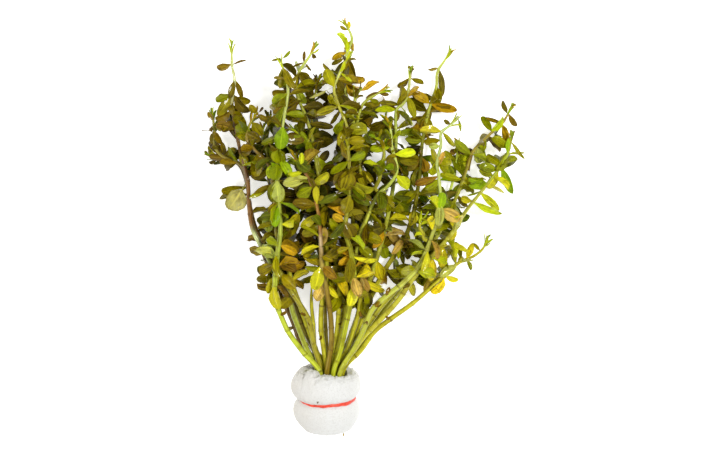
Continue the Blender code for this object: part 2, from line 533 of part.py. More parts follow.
def build_stem(stem):
    # one closed body: a four-sided tube whose sides open into the leaves
    mesh = bmesh.new()
    marks = stem.stations()
    rings = [[mesh.verts.new(p) for p in stem.ring(s)] for s in marks]
    open_sides = {}
    for joint in stem.joints:
        first = min(range(len(marks)), key=lambda i: abs(marks[i] - (joint["at"] - LEAF_JOINT / 2)))
        for number, leaf in joint["leaves"].items():
            open_sides[(first, number % 4)] = leaf
    for j in range(len(rings) - 1):
        for k in range(4):
            # side 0 faces along the first side vector, between corners 0 and 1
            a, b = rings[j][k], rings[j][(k + 1) % 4]
            c, d = rings[j + 1][(k + 1) % 4], rings[j + 1][k]
            leaf = open_sides.get((j, k))
            if leaf is None:
                add_quad(mesh, a, b, c, d)
                continue
            sections, tip = leaf
            loops = [[mesh.verts.new(p) for p in (keel, right, left)] for left, right, keel in sections]
            end = mesh.verts.new(tip)
            k1, r1, l1 = loops[0]
            # the opening's edge on the keel's side, so that the leaf starts without a twist
            quad = [a, b, c, d]
            down = k1.co - (l1.co + r1.co) / 2
            turn = max(range(4), key=lambda i: (quad[i].co + quad[(i + 1) % 4].co).dot(down))
            a, b, c, d = quad[turn:] + quad[:turn]
            mesh.faces.new((a, b, k1))
            for face in ((b, c, r1, k1), (c, d, l1, r1), (d, a, k1, l1)):
                add_quad(mesh, *face)
            loop_skin(mesh, loops, closed=False)
            for i in range(3):
                mesh.faces.new((loops[-1][i], loops[-1][(i + 1) % 3], end))
    mesh.faces.new(rings[0][::-1])
    centre, along, side, half = stem.at(stem.length)
    bud = mesh.verts.new(centre + along * 1.5 * half)
    for k in range(4):
        mesh.faces.new((rings[-1][k], rings[-1][(k + 1) % 4], bud))
    return finish_mesh(stem.name, mesh)


def finish_mesh(name, mesh):
    bmesh.ops.triangulate(mesh, faces=mesh.faces)
    data = bpy.data.meshes.new(name)
    mesh.to_mesh(data)
    mesh.free()
    shape = bpy.data.objects.new(name, data)
    bpy.context.collection.objects.link(shape)
    return shape


def loop_skin(mesh, rings, closed):
    pairs = list(zip(rings, rings[1:])) + ([(rings[-1], rings[0])] if closed else [])
    for first, second in pairs:
        for i in range(len(first)):
            j = (i + 1) % len(first)
            add_quad(mesh, first[i], first[j], second[j], second[i])


def foam_middle(y):
    # the lower lobe is thinner, and so lies a little lower
    return FOAM_HEIGHT - FOAM_SINK * smooth(-y / (12 * MM))


def foam_ring(y, radius, shift):
    # the foam's outside at y, squashed a little and flat where it lies on the table
    points = []
    for i in range(FOAM_SIDES):
        angle = 2 * math.pi * i / FOAM_SIDES
        z = foam_middle(y) + radius * FOAM_SQUASH * math.sin(angle)
        points.append(Vector((shift + radius * math.cos(angle), y, max(z, 0.0))))
    return points


def bundle_middle(y):
    t = (y - CUT_END_Y) / (RIM_Y - CUT_END_Y)
    return Vector((mix(BUNDLE_END_X, BUNDLE_RIM_X, t), y, FOAM_HEIGHT))


def make_foam():
    mesh = bmesh.new()
    rings = [foam_ring(y * MM, radius * MM, shift * MM) for y, radius, shift in FOAM_PROFILE]
    end_y, rim_y = FOAM_PROFILE[-1][0] * MM, FOAM_PROFILE[0][0] * MM
    for y, radius in ((end_y + 0.9 * MM, FOAM_BORE), (mix(end_y, rim_y, 0.5), FOAM_BORE),
                      (rim_y - 3 * MM, FOAM_BORE), (rim_y - 0.6 * MM, FOAM_MOUTH)):
        middle = bundle_middle(y)
        rings.append([middle + Vector((math.cos(a), 0, math.sin(a))) * radius
                      for a in (2 * math.pi * i / FOAM_SIDES for i in range(FOAM_SIDES))])
    loop_skin(mesh, [[mesh.verts.new(p) for p in ring] for ring in rings], closed=True)
    return finish_mesh("foam_wrap", mesh)


def make_band():
    # a round ring of rubber in the foam's pinch
    mesh = bmesh.new()
    sides, rings = 5, []
    for i in range(FOAM_SIDES):
        angle = 2 * math.pi * i / FOAM_SIDES
        out = Vector((math.cos(angle), 0, FOAM_SQUASH * math.sin(angle)))
        middle = Vector((BAND_SHIFT, BAND_PLACE, foam_middle(BAND_PLACE)))
        middle += out * (BAND_RADIUS + TOUCH_GAP + BAND_THICK / 2)
        ring = []
        for j in range(sides):
            turn = 2 * math.pi * j / sides
            ring.append(mesh.verts.new(middle + (out * math.cos(turn) + Vector((0, 1, 0)) * math.sin(turn))
                                       * BAND_THICK / 2))
        rings.append(ring)
    loop_skin(mesh, rings, closed=True)
    return finish_mesh("rubber_band", mesh)


def paint(shape, name, colour, roughness):
    finish = bpy.data.materials.get(name)
    if finish is None:
        finish = bpy.data.materials.new(name)
        finish.use_nodes = True
        shader = finish.node_tree.nodes["Principled BSDF"]
        shader.inputs["Base Color"].default_value = (*colour, 1.0)
        shader.inputs["Roughness"].default_value = roughness
        shader.inputs["Metallic"].default_value = 0.0
    shape.data.materials.append(finish)


def stem_route(row, place, trace):
    # straight through the foam in its place in the bundle, then along the traced route
    count = sum(1 for other in STEMS.values() if other[0] == row)
    offset = Vector(((place - (count - 1) / 2) * SLOT_STEP, 0, (2 - row) * ROW_STEP))
    inside = [bundle_middle(y) + offset for y in (CUT_END_Y, mix(CUT_END_Y, RIM_Y, 0.5), RIM_Y)]
    return inside + [placed(px, py, lying_height(row, px, py)) for px, py in trace]


def plan_joints(stem, leaf_start, gap):
    # pairs of leaves, closer together towards the tip
    s = stem.length - 1.2 * MM
    while s > leaf_start:
        stem.joints.insert(0, {"at": s, "leaves": {}})
        s -= mix(YOUNG_GAP, gap, smooth((stem.length - s) / (26 * MM)))


def leaf_start(stem, row, first_row, trace):
    # the distance along a stem where its route passes a pixel row
    for p, q in zip(trace, trace[1:]):
        if q[1] <= first_row < p[1]:
            t = (p[1] - first_row) / (p[1] - q[1])
            return stem.nearest(placed(mix(p[0], q[0], t), first_row, lying_height(row, *p)))
    return 0.0


def plan_stems():
    stems = {}
    for number, (name, (row, place, first_row, trace)) in enumerate(STEMS.items()):
        chance = random.Random(number)
        stem = Stem(name, stem_route(row, place, trace), math.radians(chance.uniform(20, 70)))
        stem.chance = chance
        plan_joints(stem, leaf_start(stem, row, first_row, trace), LEAF_GAPS[row])
        stems[name] = stem
    for number, (name, (parent_name, fork, trace)) in enumerate(SHOOTS.items()):
        parent, row = stems[parent_name], STEMS[parent_name][0]
        centre, along, side, half = parent.at(parent.nearest(placed(*fork, lying_height(row, *fork))))
        route = [placed(px, py, lying_height(row, px, py)) for px, py in trace]
        away = (route[0] - centre).normalized()
        out = (away - along * away.dot(along)).normalized()
        start = centre + out * (half * math.sqrt(2) + TOUCH_GAP)
        bend = start + out * SHOOT_THICK
        shoot = Stem(name, [start, bend] + route, 0.0, SHOOT_THICK, SHOOT_BEND_STEP)
        shoot.chance = random.Random(100 + number)
        plan_joints(shoot, 3 * MM, LEAF_GAPS[row])
        stems[name] = shoot
    return stems


def main():
    for old in list(bpy.data.objects):
        bpy.data.objects.remove(old, do_unlink=True)
    paint(make_foam(), "filter_foam", (0.86, 0.86, 0.83), 0.95)
    paint(make_band(), "coral_rubber", (0.85, 0.08, 0.03), 0.45)
    crowd, stems = Crowd(), plan_stems()
    for stem in stems.values():
        add_tube(crowd, stem)
    for name, base, tip, width in MARKED_LEAVES:
        grow_marked(crowd, stems[name], base, tip, width)
    for level in range(max(len(stem.joints) for stem in stems.values())):
        for number, stem in enumerate(stems.values()):
            if level < len(stem.joints):
                joint = stem.joints[-1 - level]
                age = (stem.length - joint["at"]) / (60 * MM)
                grow_pair(crowd, stem, joint, (level + number) % 2, age, stem.chance)
    for stem in stems.values():
        stem.joints = [joint for joint in stem.joints if joint["leaves"]]
        paint(build_stem(stem), "living_stem", (0.16, 0.17, 0.02), 0.4)


main()
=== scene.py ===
# A cut bunch of rotala, an aquarium stem plant, lying on a pale table and seen from above.
# A rolled strip of white foam holds the bare stem ends, with a rubber band around it.

import json
import random
from functools import partial
from math import atan2, cos, dist, exp, hypot, pi, radians, sin, sqrt

import bmesh
import bpy
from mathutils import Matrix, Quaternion, Vector, noise
from mathutils.bvhtree import BVHTree
from mathutils.kdtree import KDTree

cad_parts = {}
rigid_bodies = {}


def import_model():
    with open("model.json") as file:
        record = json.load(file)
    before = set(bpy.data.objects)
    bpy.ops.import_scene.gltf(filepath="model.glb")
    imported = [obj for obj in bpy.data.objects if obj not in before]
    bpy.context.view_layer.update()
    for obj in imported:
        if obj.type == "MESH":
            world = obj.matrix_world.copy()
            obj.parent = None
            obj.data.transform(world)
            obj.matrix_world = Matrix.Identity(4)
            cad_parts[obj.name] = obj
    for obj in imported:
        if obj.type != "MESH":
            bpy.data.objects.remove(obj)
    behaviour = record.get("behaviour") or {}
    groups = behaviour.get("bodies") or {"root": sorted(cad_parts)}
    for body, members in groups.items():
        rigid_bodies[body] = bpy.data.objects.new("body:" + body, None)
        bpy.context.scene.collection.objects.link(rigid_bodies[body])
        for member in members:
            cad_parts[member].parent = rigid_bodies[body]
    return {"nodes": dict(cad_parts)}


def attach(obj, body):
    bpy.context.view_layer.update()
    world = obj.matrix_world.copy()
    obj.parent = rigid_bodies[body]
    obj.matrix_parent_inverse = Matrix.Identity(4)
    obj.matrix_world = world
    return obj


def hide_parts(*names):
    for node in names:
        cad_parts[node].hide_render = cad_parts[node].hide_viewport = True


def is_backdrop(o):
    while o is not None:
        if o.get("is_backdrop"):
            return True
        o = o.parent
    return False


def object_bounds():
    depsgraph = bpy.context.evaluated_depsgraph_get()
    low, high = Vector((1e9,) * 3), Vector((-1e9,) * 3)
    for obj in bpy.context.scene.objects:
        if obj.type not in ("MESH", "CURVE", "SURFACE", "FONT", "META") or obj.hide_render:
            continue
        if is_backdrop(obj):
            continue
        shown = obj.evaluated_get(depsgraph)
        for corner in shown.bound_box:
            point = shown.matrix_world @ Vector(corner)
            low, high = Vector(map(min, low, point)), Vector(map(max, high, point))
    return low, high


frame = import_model()
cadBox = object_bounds()
print("frame loaded,", len(frame["nodes"]), "nodes")

mm = 0.001


# the view

view = {
    "middle": (354.5, 230.5),  # pixel in the picture's middle
    "width": 709,
    "pixel": 0.5 * mm,  # size of a pixel at the target
    "distance": 600 * mm,
    "tilt": radians(10),  # leans towards the tips
    "target": Vector((14.8, 81.9, 16.0)) * mm,
    "sensor": 36,
}


def viewAxes():
    back = Vector((0, sin(view["tilt"]), cos(view["tilt"])))
    rise = Vector((0, cos(view["tilt"]), -sin(view["tilt"])))
    return back, rise


def placed(px, py, height):
    # the point at this height that the picture shows at this pixel
    back, rise = viewAxes()
    eye = view["target"] + back * view["distance"]
    across = (px - view["middle"][0]) * view["pixel"] / view["distance"]
    up = (view["middle"][1] - py) * view["pixel"] / view["distance"]
    ray = Vector((across, 0, 0)) + rise * up - back
    return eye + ray * ((height - eye.z) / ray.z)


def seenAt(point):
    # the pixel at which the picture shows this point
    back, rise = viewAxes()
    away = point - view["target"]
    zoom = view["distance"] / (view["distance"] - away.dot(back)) / view["pixel"]
    return view["middle"][0] + away.x * zoom, view["middle"][1] - away.dot(rise) * zoom


def inOpening(point, more=()):
    px, py = seenAt(point)
    return any(left < px < right and top < py < bottom for left, top, right, bottom in [*openings, *more])


clearance = {
    "margins": (1, 2, 1.5),  # pixels before, beyond and beside a leaf that stands out
    # spots tested on a leaf: share of its length, and of half its width to the side
    "spots": ((0.35, 0), (0.65, 0), (1.0, 0), (0.55, 0.8), (0.55, -0.8), (0.85, 0.6), (0.85, -0.6)),
}


def overMarked(point):
    # whether the picture shows this point over a leaf that stands out
    px, py = seenAt(point)
    before, beyond, beside = clearance["margins"]
    for x, y, tipX, tipY, width, tint in [leaf for name, leaves in markedLeaves for leaf in leaves]:
        length = dist((x, y), (tipX, tipY))
        along = ((px - x) * (tipX - x) + (py - y) * (tipY - y)) / length
        away = abs((px - x) * (tipY - y) - (py - y) * (tipX - x)) / length
        if -before < along < length + beyond and away < width + beside:
            return True
    return False


def keepsClear(root, reach, face, length, width):
    # whether a leaf here leaves the openings and the leaves that stand out free
    across = face.cross(reach).normalized() * width / 2
    spots = [root + reach * length * t + across * s for t, s in clearance["spots"]]
    return not any(inOpening(spot, clearings) or overMarked(spot) for spot in spots)


def makeCamera():
    camera = bpy.data.objects.new("camera", bpy.data.cameras.new("camera"))
    bpy.context.collection.objects.link(camera)
    camera.location = view["target"] + viewAxes()[0] * view["distance"]
    camera.rotation_euler = (-view["tilt"], 0, 0)
    camera.data.sensor_width = view["sensor"]
    camera.data.lens = view["sensor"] * view["distance"] / (view["width"] * view["pixel"])
    bpy.context.scene.camera = camera


makeCamera()


# small helpers

def smooth(t):
    t = min(max(t, 0.0), 1.0)
    return t * t * (3 - 2 * t)


def mix(a, b, t):
    return a + (b - a) * t


def squared(direction, other):
    # a direction turned square to another
    return (direction - other * direction.dot(other)).normalized()


def colour(hexText):
    # sRGB hex to the linear colour that shaders take
    shares = [int(hexText[i:i + 2], 16) / 255 for i in (1, 3, 5)]
    return [s / 12.92 if s <= 0.04045 else ((s + 0.055) / 1.055) ** 2.4 for s in shares]


def opaque(hexText):
    return (*colour(hexText), 1.0)


def addNode(tree, kind, inputs=None, output=0, **settings):
    # a shader node with its settings and links, of which one output comes back
    node = tree.nodes.new("ShaderNode" + kind)
    for name, value in settings.items():
        setattr(node, name, value)
    for socket, value in (inputs or {}).items():
        if isinstance(value, bpy.types.NodeSocket):
            tree.links.new(value, node.inputs[socket])
        else:
            node.inputs[socket].default_value = value
    return node.outputs[output]


def newFinish(name, **uniform):
    finish = bpy.data.materials.new(name)
    finish.use_nodes = True
    shader = finish.node_tree.nodes["Principled BSDF"]
    for socket, value in uniform.items():
        shader.inputs[socket.replace("_", " ")].default_value = value
    return finish, partial(addNode, finish.node_tree), shader


def linkTo(shader, **sockets):
    for name, socket in sockets.items():
        shader.id_data.links.new(socket, shader.inputs[name.replace("_", " ")])


def only(piece):
    # this piece alone is selected and active
    bpy.ops.object.select_all(action="DESELECT")
    piece.select_set(True)
    bpy.context.view_layer.objects.active = piece


def applied(piece, kind, **settings):
    modifier = piece.modifiers.new(kind.lower(), kind)
    for name, value in settings.items():
        setattr(modifier, name, value)
    only(piece)
    bpy.ops.object.modifier_apply(modifier=modifier.name)


def mergedAndOutward(piece, gap=0.001 * mm):
    only(piece)
    bpy.ops.object.mode_set(mode="EDIT")
    bpy.ops.mesh.select_all(action="SELECT")
    bpy.ops.mesh.remove_doubles(threshold=gap)
    bpy.ops.mesh.normals_make_consistent(inside=False)
    bpy.ops.object.mode_set(mode="OBJECT")


# finishes

def plantSockets(add):
    # what both plant finishes read: tint, three marks, place, and the place on a leaf or around a stem
    tint = add("Attribute", attribute_name="leafTint")
    marks = add("Attribute", attribute_name="leafMarks")
    marks = add("SeparateColor", {0: marks}).node.outputs
    place = add("TexCoord", output="Object")
    flat = add("UVMap", uv_map="plantMap")
    flat = add("SeparateXYZ", {0: flat}).node.outputs
    return tint, marks, place, flat


leafTissue = {
    "blotch": 3.2 * mm,  # size of the darker patches on a leaf
    "grain": 0.45 * mm, "grainHigh": 0.4, "grooveDeep": 0.8, "relief": 0.2 * mm,
    "bands": (2.8, 1.2, 40.0),  # lengthwise bands across half a leaf, along it, and from leaf to leaf
    "veins": 7.0, "arch": 1.9,  # side veins along a leaf, and how far they arch forwards
    "faint": 0.3,  # of a side vein beside the midrib
    "edge": "#5E2E0C",
    "shaded": (0.3, 0.23, 0.15),  # the tint times this
    "paler": ((1.5, 1.45, 1.3), (0.06, 0.055, 0.004)),  # the tint times this, plus that
    "dull": ((0.95, 0.95, 0.9), (0.05, 0.05, 0.006)), "dullShare": 0.4,  # the under side
    # masks: from where to where in what they follow, and how strong they are at both ends
    "soft": {"dark": (0.48, 0.7, 0.0, 0.65), "pale": (0.26, 0.44, 0.55, 0.0), "brown": (0.5, 0.64, 0.0, 1.0),
             "golden": (0.32, 0.44, 0.5, 0.0), "vein": (0.02, 0.12, 1.0, 0.0), "rib": (0.02, 0.14, 0.85, 0.0),
             "rim": (0.8, 1.0, 0.0, 0.85), "tip": (0.84, 1.0, 0.0, 1.0)},
    "straight": {"wornBands": (0.0, 0.7, 0.15, 0.9), "ribEnd": (0.6, 1.0, 0.85, 0.15),
                 "base": (0.0, 0.3, 0.6, 0.0), "gloss": (0.35, 0.65, 0.14, 0.42)},
}


def makeLeafTissue():
    # Thin wet water-plant leaf: waxy skin over soft tissue, so it glows where light comes through
    # and shows small sharp highlights.
    look = leafTissue
    finish, add, shader = newFinish(
        "wetLeafTissue", IOR=1.36, Specular_IOR_Level=0.15, Coat_Weight=0.3, Coat_Roughness=0.07,
        Specular_Tint=(1, 0.96, 0.45, 1), Subsurface_Weight=0.25, Subsurface_Radius=(0.9, 1, 0.08),
        Coat_IOR=1.4, Subsurface_Scale=0.5 * mm)
    tint, marks, place, flat = plantSockets(add)
    underSide, wear, roll = marks["Red"], marks["Green"], marks["Blue"]
    along = flat["Y"]
    signed = add("Math", {0: flat["X"], 1: 2.0, 2: -1.0}, operation="MULTIPLY_ADD")
    across = add("Math", {0: signed}, operation="ABSOLUTE")
    shaded = add("VectorMath", {0: tint, 1: look["shaded"]}, operation="MULTIPLY")
    times, plus = look["paler"]
    paler = add("VectorMath", {0: tint, 1: times, 2: plus}, operation="MULTIPLY_ADD")

    # patches, lengthwise bands that differ on each leaf, and arched side veins
    blotches = add("TexNoise", {"Vector": place, "Scale": 1 / look["blotch"], "Detail": 4, "Roughness": 0.6})
    stretched = add("CombineXYZ", {0: signed, 1: along, 2: roll})
    stretched = add("VectorMath", {0: stretched, 1: look["bands"]}, operation="MULTIPLY")
    streak = add("TexNoise", {"Vector": stretched, "Scale": 1.0, "Detail": 2.0})
    arch = add("Math", {0: across, 1: -look["arch"]}, operation="MULTIPLY")
    slanted = add("Math", {0: along, 1: look["veins"], 2: arch}, operation="MULTIPLY_ADD")
    fold = add("Math", {0: slanted, 1: 0.5}, operation="PINGPONG")

    followed = {"dark": blotches, "pale": blotches, "brown": streak, "golden": streak, "vein": fold,
                "rib": across, "rim": across, "tip": along, "wornBands": wear, "ribEnd": along, "base": along,
                "gloss": blotches}
    mask = {}
    for ramp, ends in (("SMOOTHSTEP", look["soft"]), ("LINEAR", look["straight"])):
        for name, limits in ends.items():
            inputs = {0: followed[name], **dict(enumerate(limits, 1))}
            mask[name] = add("MapRange", inputs, interpolation_type=ramp)
    shader.id_data.links.new(mask["wornBands"], mask["brown"].node.inputs[4])  # worn leaves are browner

    midrib = add("Math", {0: mask["rib"], 1: mask["ribEnd"]}, operation="MULTIPLY")
    faint = add("Math", {0: mask["vein"], 1: look["faint"]}, operation="MULTIPLY")
    lines = add("Math", {0: faint, 1: midrib}, operation="MAXIMUM")
    lines = add("Math", {0: lines, 1: mask["base"]}, operation="MAXIMUM")
    edge = add("Math", {0: mask["rim"], 1: mask["tip"]}, operation="MAXIMUM")
    worn = add("Math", {0: edge, 1: wear}, operation="MULTIPLY")
    skin = tint
    for share, layer in ((mask["dark"], shaded), (mask["pale"], paler), (mask["brown"], shaded),
                         (mask["golden"], paler), (lines, paler), (worn, opaque(look["edge"]))):
        skin = add("Mix", {0: share, 6: skin, 7: layer}, 2, data_type="RGBA")
    times, plus = look["dull"]
    dull = add("VectorMath", {0: skin, 1: times, 2: plus}, operation="MULTIPLY_ADD")
    share = add("Math", {0: underSide, 1: look["dullShare"]}, operation="MULTIPLY")
    skin = add("Mix", {0: share, 6: skin, 7: dull}, 2, data_type="RGBA")

    grain = add("TexNoise", {"Vector": place, "Scale": 1 / look["grain"]})
    grooves = add("Math", {0: mask["vein"], 1: midrib}, operation="ADD")
    sunk = add("Math", {0: grooves, 1: -look["grooveDeep"]}, operation="MULTIPLY")
    relief = add("Math", {0: grain, 1: look["grainHigh"], 2: sunk}, operation="MULTIPLY_ADD")
    bump = add("Bump", {"Strength": 0.7, "Distance": look["relief"], "Height": relief})
    linkTo(shader, Base_Color=skin, Roughness=mask["gloss"], Normal=bump)
    return finish


stemTissue = {
    "bands": (7.0, 9.0, 40.0),  # fine ribs around a stem, along it, and from stem to stem
    "patch": 5 * mm, "relief": 0.15 * mm,
    "scar": "#4A2A0C",
    "darker": (0.5, 0.42, 0.3), "paler": ((1.25, 1.25, 1.25), (0.07, 0.08, 0.03)),
    "soft": {"rough": (0.48, 0.68, 0.0, 0.65), "fresh": (0.3, 0.46, 0.6, 0.0), "old": (0.5, 0.68, 0.0, 0.6)},
    "gloss": (0.3, 0.7, 0.25, 0.42),
}


def makeStemTissue():
    # Fresh water-plant stem: smooth green skin, moist, with brown scars where leaves fell.
    look = stemTissue
    finish, add, shader = newFinish(
        "wetStemTissue", IOR=1.36, Specular_IOR_Level=0.25, Coat_Weight=0.35, Coat_Roughness=0.1,
        Specular_Tint=(1, 0.96, 0.5, 1), Subsurface_Weight=0.2, Subsurface_Radius=(0.9, 1, 0.1),
        Coat_IOR=1.4, Subsurface_Scale=0.6 * mm)
    tint, marks, place, flat = plantSockets(add)
    scar, age, roll = marks["Red"], marks["Green"], marks["Blue"]
    stretched = add("CombineXYZ", {0: flat["X"], 1: flat["Y"], 2: roll})
    stretched = add("VectorMath", {0: stretched, 1: look["bands"]}, operation="MULTIPLY")
    ribs = add("TexNoise", {"Vector": stretched, "Scale": 1.0, "Detail": 2.0})
    patches = add("TexNoise", {"Vector": place, "Scale": 1 / look["patch"], "Detail": 3.0})
    darker = add("VectorMath", {0: tint, 1: look["darker"]}, operation="MULTIPLY")
    times, plus = look["paler"]
    paler = add("VectorMath", {0: tint, 1: times, 2: plus}, operation="MULTIPLY_ADD")
    mask = {}
    for name, socket in (("rough", ribs), ("fresh", ribs), ("old", patches)):
        inputs = {0: socket, **dict(enumerate(look["soft"][name], 1))}
        mask[name] = add("MapRange", inputs, interpolation_type="SMOOTHSTEP")
    old = add("Math", {0: mask["old"], 1: age}, operation="MULTIPLY")
    skin = tint
    for share, layer in ((mask["rough"], darker), (mask["fresh"], paler), (old, darker),
                         (scar, opaque(look["scar"]))):
        skin = add("Mix", {0: share, 6: skin, 7: layer}, 2, data_type="RGBA")
    gloss = add("MapRange", {0: patches, **dict(enumerate(look["gloss"], 1))})
    bump = add("Bump", {"Strength": 0.5, "Distance": look["relief"], "Height": ribs})
    linkTo(shader, Base_Color=skin, Roughness=gloss, Normal=bump)
    return finish


# stems: routes, joints and leaves

bundle = {
    "rowStep": 2.8 * mm, "slotStep": 3.3 * mm,
    "rimX": 2.4 * mm, "endX": 1.0 * mm, "cutY": -20.5 * mm, "rimY": 9.5 * mm,
    "height": 15.6 * mm,
}

fan = {
    "heights": [36 * mm, 28.5 * mm, 21 * mm, 13.5 * mm, 6.0 * mm],  # of each row, further out
    "floor": 4.0 * mm,
    "start": 372.0, "run": 190.0,
    "side": 338.0, "sideRun": 175.0, "sideDrop": 0.55,
    "tip": 150.0, "tipRun": 130.0, "tipDrop": 0.3,
}

stalks = {
    "thick": 2.3 * mm, "tipThick": 1.3 * mm, "shootThick": 1.7 * mm,
    "slimFrom": 0.45, "slimRun": 0.55,  # shares of the length
    "turn": (20, 70), "turnFrom": 45 * mm, "turnRun": 35 * mm,  # how far the pairs turn along a stem
    "joint": 1.5 * mm,
    "gaps": [10.8 * mm, 11.5 * mm, 12.3 * mm, 13.5 * mm, 14 * mm],  # between old pairs, for each row
    "youngGap": 4.8 * mm, "youngRun": 26 * mm, "tipGap": 1.2 * mm, "shootStart": 3 * mm,
    "adult": 60 * mm,  # distance from the tip at which a leaf is fully grown
    "sides": 3,  # bevel steps, ten sides
    "barePiece": 12.5 * mm,  # between scars on the bare part
    "swelling": 0.14,
    "roundness": 1.16,  # radius beside half the solid's width
}

growth = {
    "long": 11 * mm, "wide": 0.5, "widths": (0.7, 1.3), "keel": 0.4 * mm, "young": 11.2 * mm,
    "sections": ((0.36, 0.95), (0.36, 0.84), (0.28, 0.0)), "youngSections": ((0.5, 1.0), (0.5, 0.0)),
    "flat": 0.72, "flatSpread": (0.6, 1.2), "tries": 14, "gap": 0.3 * mm,
    "leastOut": 0.35,  # a leaf sets out at least this much away from its side of the stem
    "lean": (26, 92), "leanRate": 1.5, "leanSpread": (-34, 44), "swing": 0.6,  # away from the stem
    "size": 0.36, "sizeRate": 2.6, "sizeSpread": (0.82, 1.12),  # of the youngest, and how fast it grows
    "lateSize": 0.72,  # in the later half of the tries
    "curl": (-10, 45),
    "thick": 0.26 * mm,
}

# first seeds of the random draws, one more for each stem
seeds = {"shoots": 100, "filling": 500, "cover": 900, "buds": 1300, "under": 1700, "crumbs": 77}

# name: row, place in the row, pixel row where the leaves start, traced route
stems = {
    "stem_01": (0, 0, 288, [(303, 352), (289, 333), (281, 316), (275, 299), (275, 282), (277.5, 254),
        (280.5, 228), (278, 190), (278, 152), (284, 118), (288, 92), (286, 76), (281.5, 64), (282, 56)]),
    "stem_02": (0, 1, 268, [(331, 347), (331, 322), (327.5, 295), (322, 265), (320.5, 235), (318, 212),
        (310, 182), (298, 163), (290, 151)]),
    "stem_03": (0, 2, 285, [(340, 352), (346, 325), (352, 296), (354.5, 280), (351, 252), (345, 229),
        (349, 203), (349.5, 178), (348, 150), (346.5, 126), (338, 104), (334, 89), (340, 73), (347, 60),
        (353, 52)]),
    "stem_04": (0, 3, 272, [(355, 347), (363.5, 330), (372, 310), (386, 296), (404, 282), (420, 264),
        (431, 238), (440, 205), (439, 178), (437, 163), (441, 145), (441, 133), (452, 124), (459, 116)]),
    "stem_05": (1, 0, 282, [(314, 345), (309, 321), (299, 303), (286, 284), (279, 268), (277, 240),
        (275, 205), (270, 168), (255, 150), (247, 140), (249, 126), (258, 112)]),
    "stem_06": (1, 1, 276, [(324, 350), (321, 328), (322, 303), (326, 275), (326, 240), (322, 200),
        (317, 168), (311, 145), (298, 133), (288, 128)]),
    "stem_07": (1, 2, 290, [(338, 350), (344, 325), (350, 300), (353, 270), (359.5, 236), (366, 220),
        (376, 197), (388, 186), (397, 170), (392, 148), (390.5, 130), (385, 116)]),
    "stem_08": (1, 3, 268, [(354, 350), (366, 334), (385, 315), (400, 298), (414, 277), (432, 256),
        (452, 233), (466, 211), (485, 187), (503, 163), (509.5, 148), (512, 130)]),
    "stem_09": (2, 0, 165, [(307, 349), (300, 332), (293, 313), (288, 294), (279, 278), (265, 252),
        (253, 230), (249, 205), (247.5, 178), (240, 150), (234.5, 122), (232, 105), (234.5, 80), (232, 65),
        (231.5, 40)]),
    "stem_10": (2, 1, 292, [(315, 348), (307, 325), (299, 303), (291, 280), (285, 250), (279, 215),
        (272, 180), (266, 150), (262, 136), (264, 123)]),
    "stem_11": (2, 2, 296, [(335, 346), (338, 322), (339, 295), (336, 262), (331, 228), (324, 190),
        (316, 155), (307, 120), (298, 98), (296, 84), (300, 70), (309, 57), (317.5, 42)]),
    "stem_12": (2, 3, 300, [(347, 350), (353, 332), (359, 310), (362, 280), (362, 240), (361, 200),
        (360, 160), (357, 130), (362, 106), (375, 95), (390, 87)]),
    "stem_13": (2, 4, 276, [(361, 350), (374, 332), (392, 318), (413, 303), (436, 283), (457, 264),
        (474, 256), (484, 247), (487, 235)]),
    "stem_14": (3, 0, 170, [(313, 347), (304, 330), (298, 312), (292, 293), (283, 272), (268, 249),
        (256, 229), (250, 205), (247, 182), (243, 168), (234, 160), (222, 156), (215, 147), (214.5, 133),
        (213, 118), (212, 108)]),
    "stem_15": (3, 1, 285, [(326, 350), (325, 325), (324, 300), (322, 270), (318, 240), (313, 200),
        (309, 160), (312, 130), (311, 108), (316, 91), (318, 78)]),
    "stem_16": (3, 2, 295, [(336, 348), (342, 322), (347, 295), (351, 262), (353, 225), (353, 190),
        (351, 150), (349, 115), (345, 85), (344, 65), (349.5, 47), (352, 39), (349, 30), (342, 19)]),
    "stem_17": (3, 3, 290, [(345, 350), (354, 326), (363, 300), (373, 270), (382, 240), (389, 210),
        (394, 180), (396, 145), (396, 112), (404, 103), (408.5, 90), (411, 66)]),
    "stem_18": (3, 4, 262, [(352, 350), (366, 328), (384, 303), (408, 277), (430, 248), (448, 215),
        (460, 188), (468, 165), (474, 150), (489, 135), (503, 122), (510, 110), (514, 103)]),
    "stem_19": (4, 0, 170, [(304, 350), (293, 322), (285, 304), (277, 288), (269, 268), (261, 247),
        (254, 229), (249.5, 205), (247, 186), (241, 168), (231, 160), (220, 159), (212, 157), (208, 151)]),
    "stem_20": (4, 1, 290, [(312, 347), (302, 320), (294, 295), (287, 270), (280, 240), (274, 205),
        (268, 175), (266, 145), (269, 128), (269, 114)]),
    "stem_21": (4, 2, 280, [(349, 352), (359, 327), (371, 297), (386, 268), (402, 244), (413, 215),
        (419, 180), (422, 145), (428, 113), (436, 88), (437.5, 72), (445, 60), (452, 48)]),
    "stem_22": (4, 3, 286, [(362, 345), (376, 321), (390, 302), (408, 280), (424, 255), (438, 225),
        (449, 195), (456, 165), (458, 140)]),
}

# side shoots: parent, where they leave it, traced route
shoots = {
    "side_shoot_1": ("stem_07", (380, 193), [(379, 180), (381, 168), (384, 156), (383, 146), (378, 138)]),
    "side_shoot_2": ("stem_04", (430, 241), [(423, 234), (419.5, 227), (423, 220), (430, 217)]),
    "side_shoot_3": ("stem_12", (358, 122), [(354, 108), (356, 96), (362, 88)]),
}

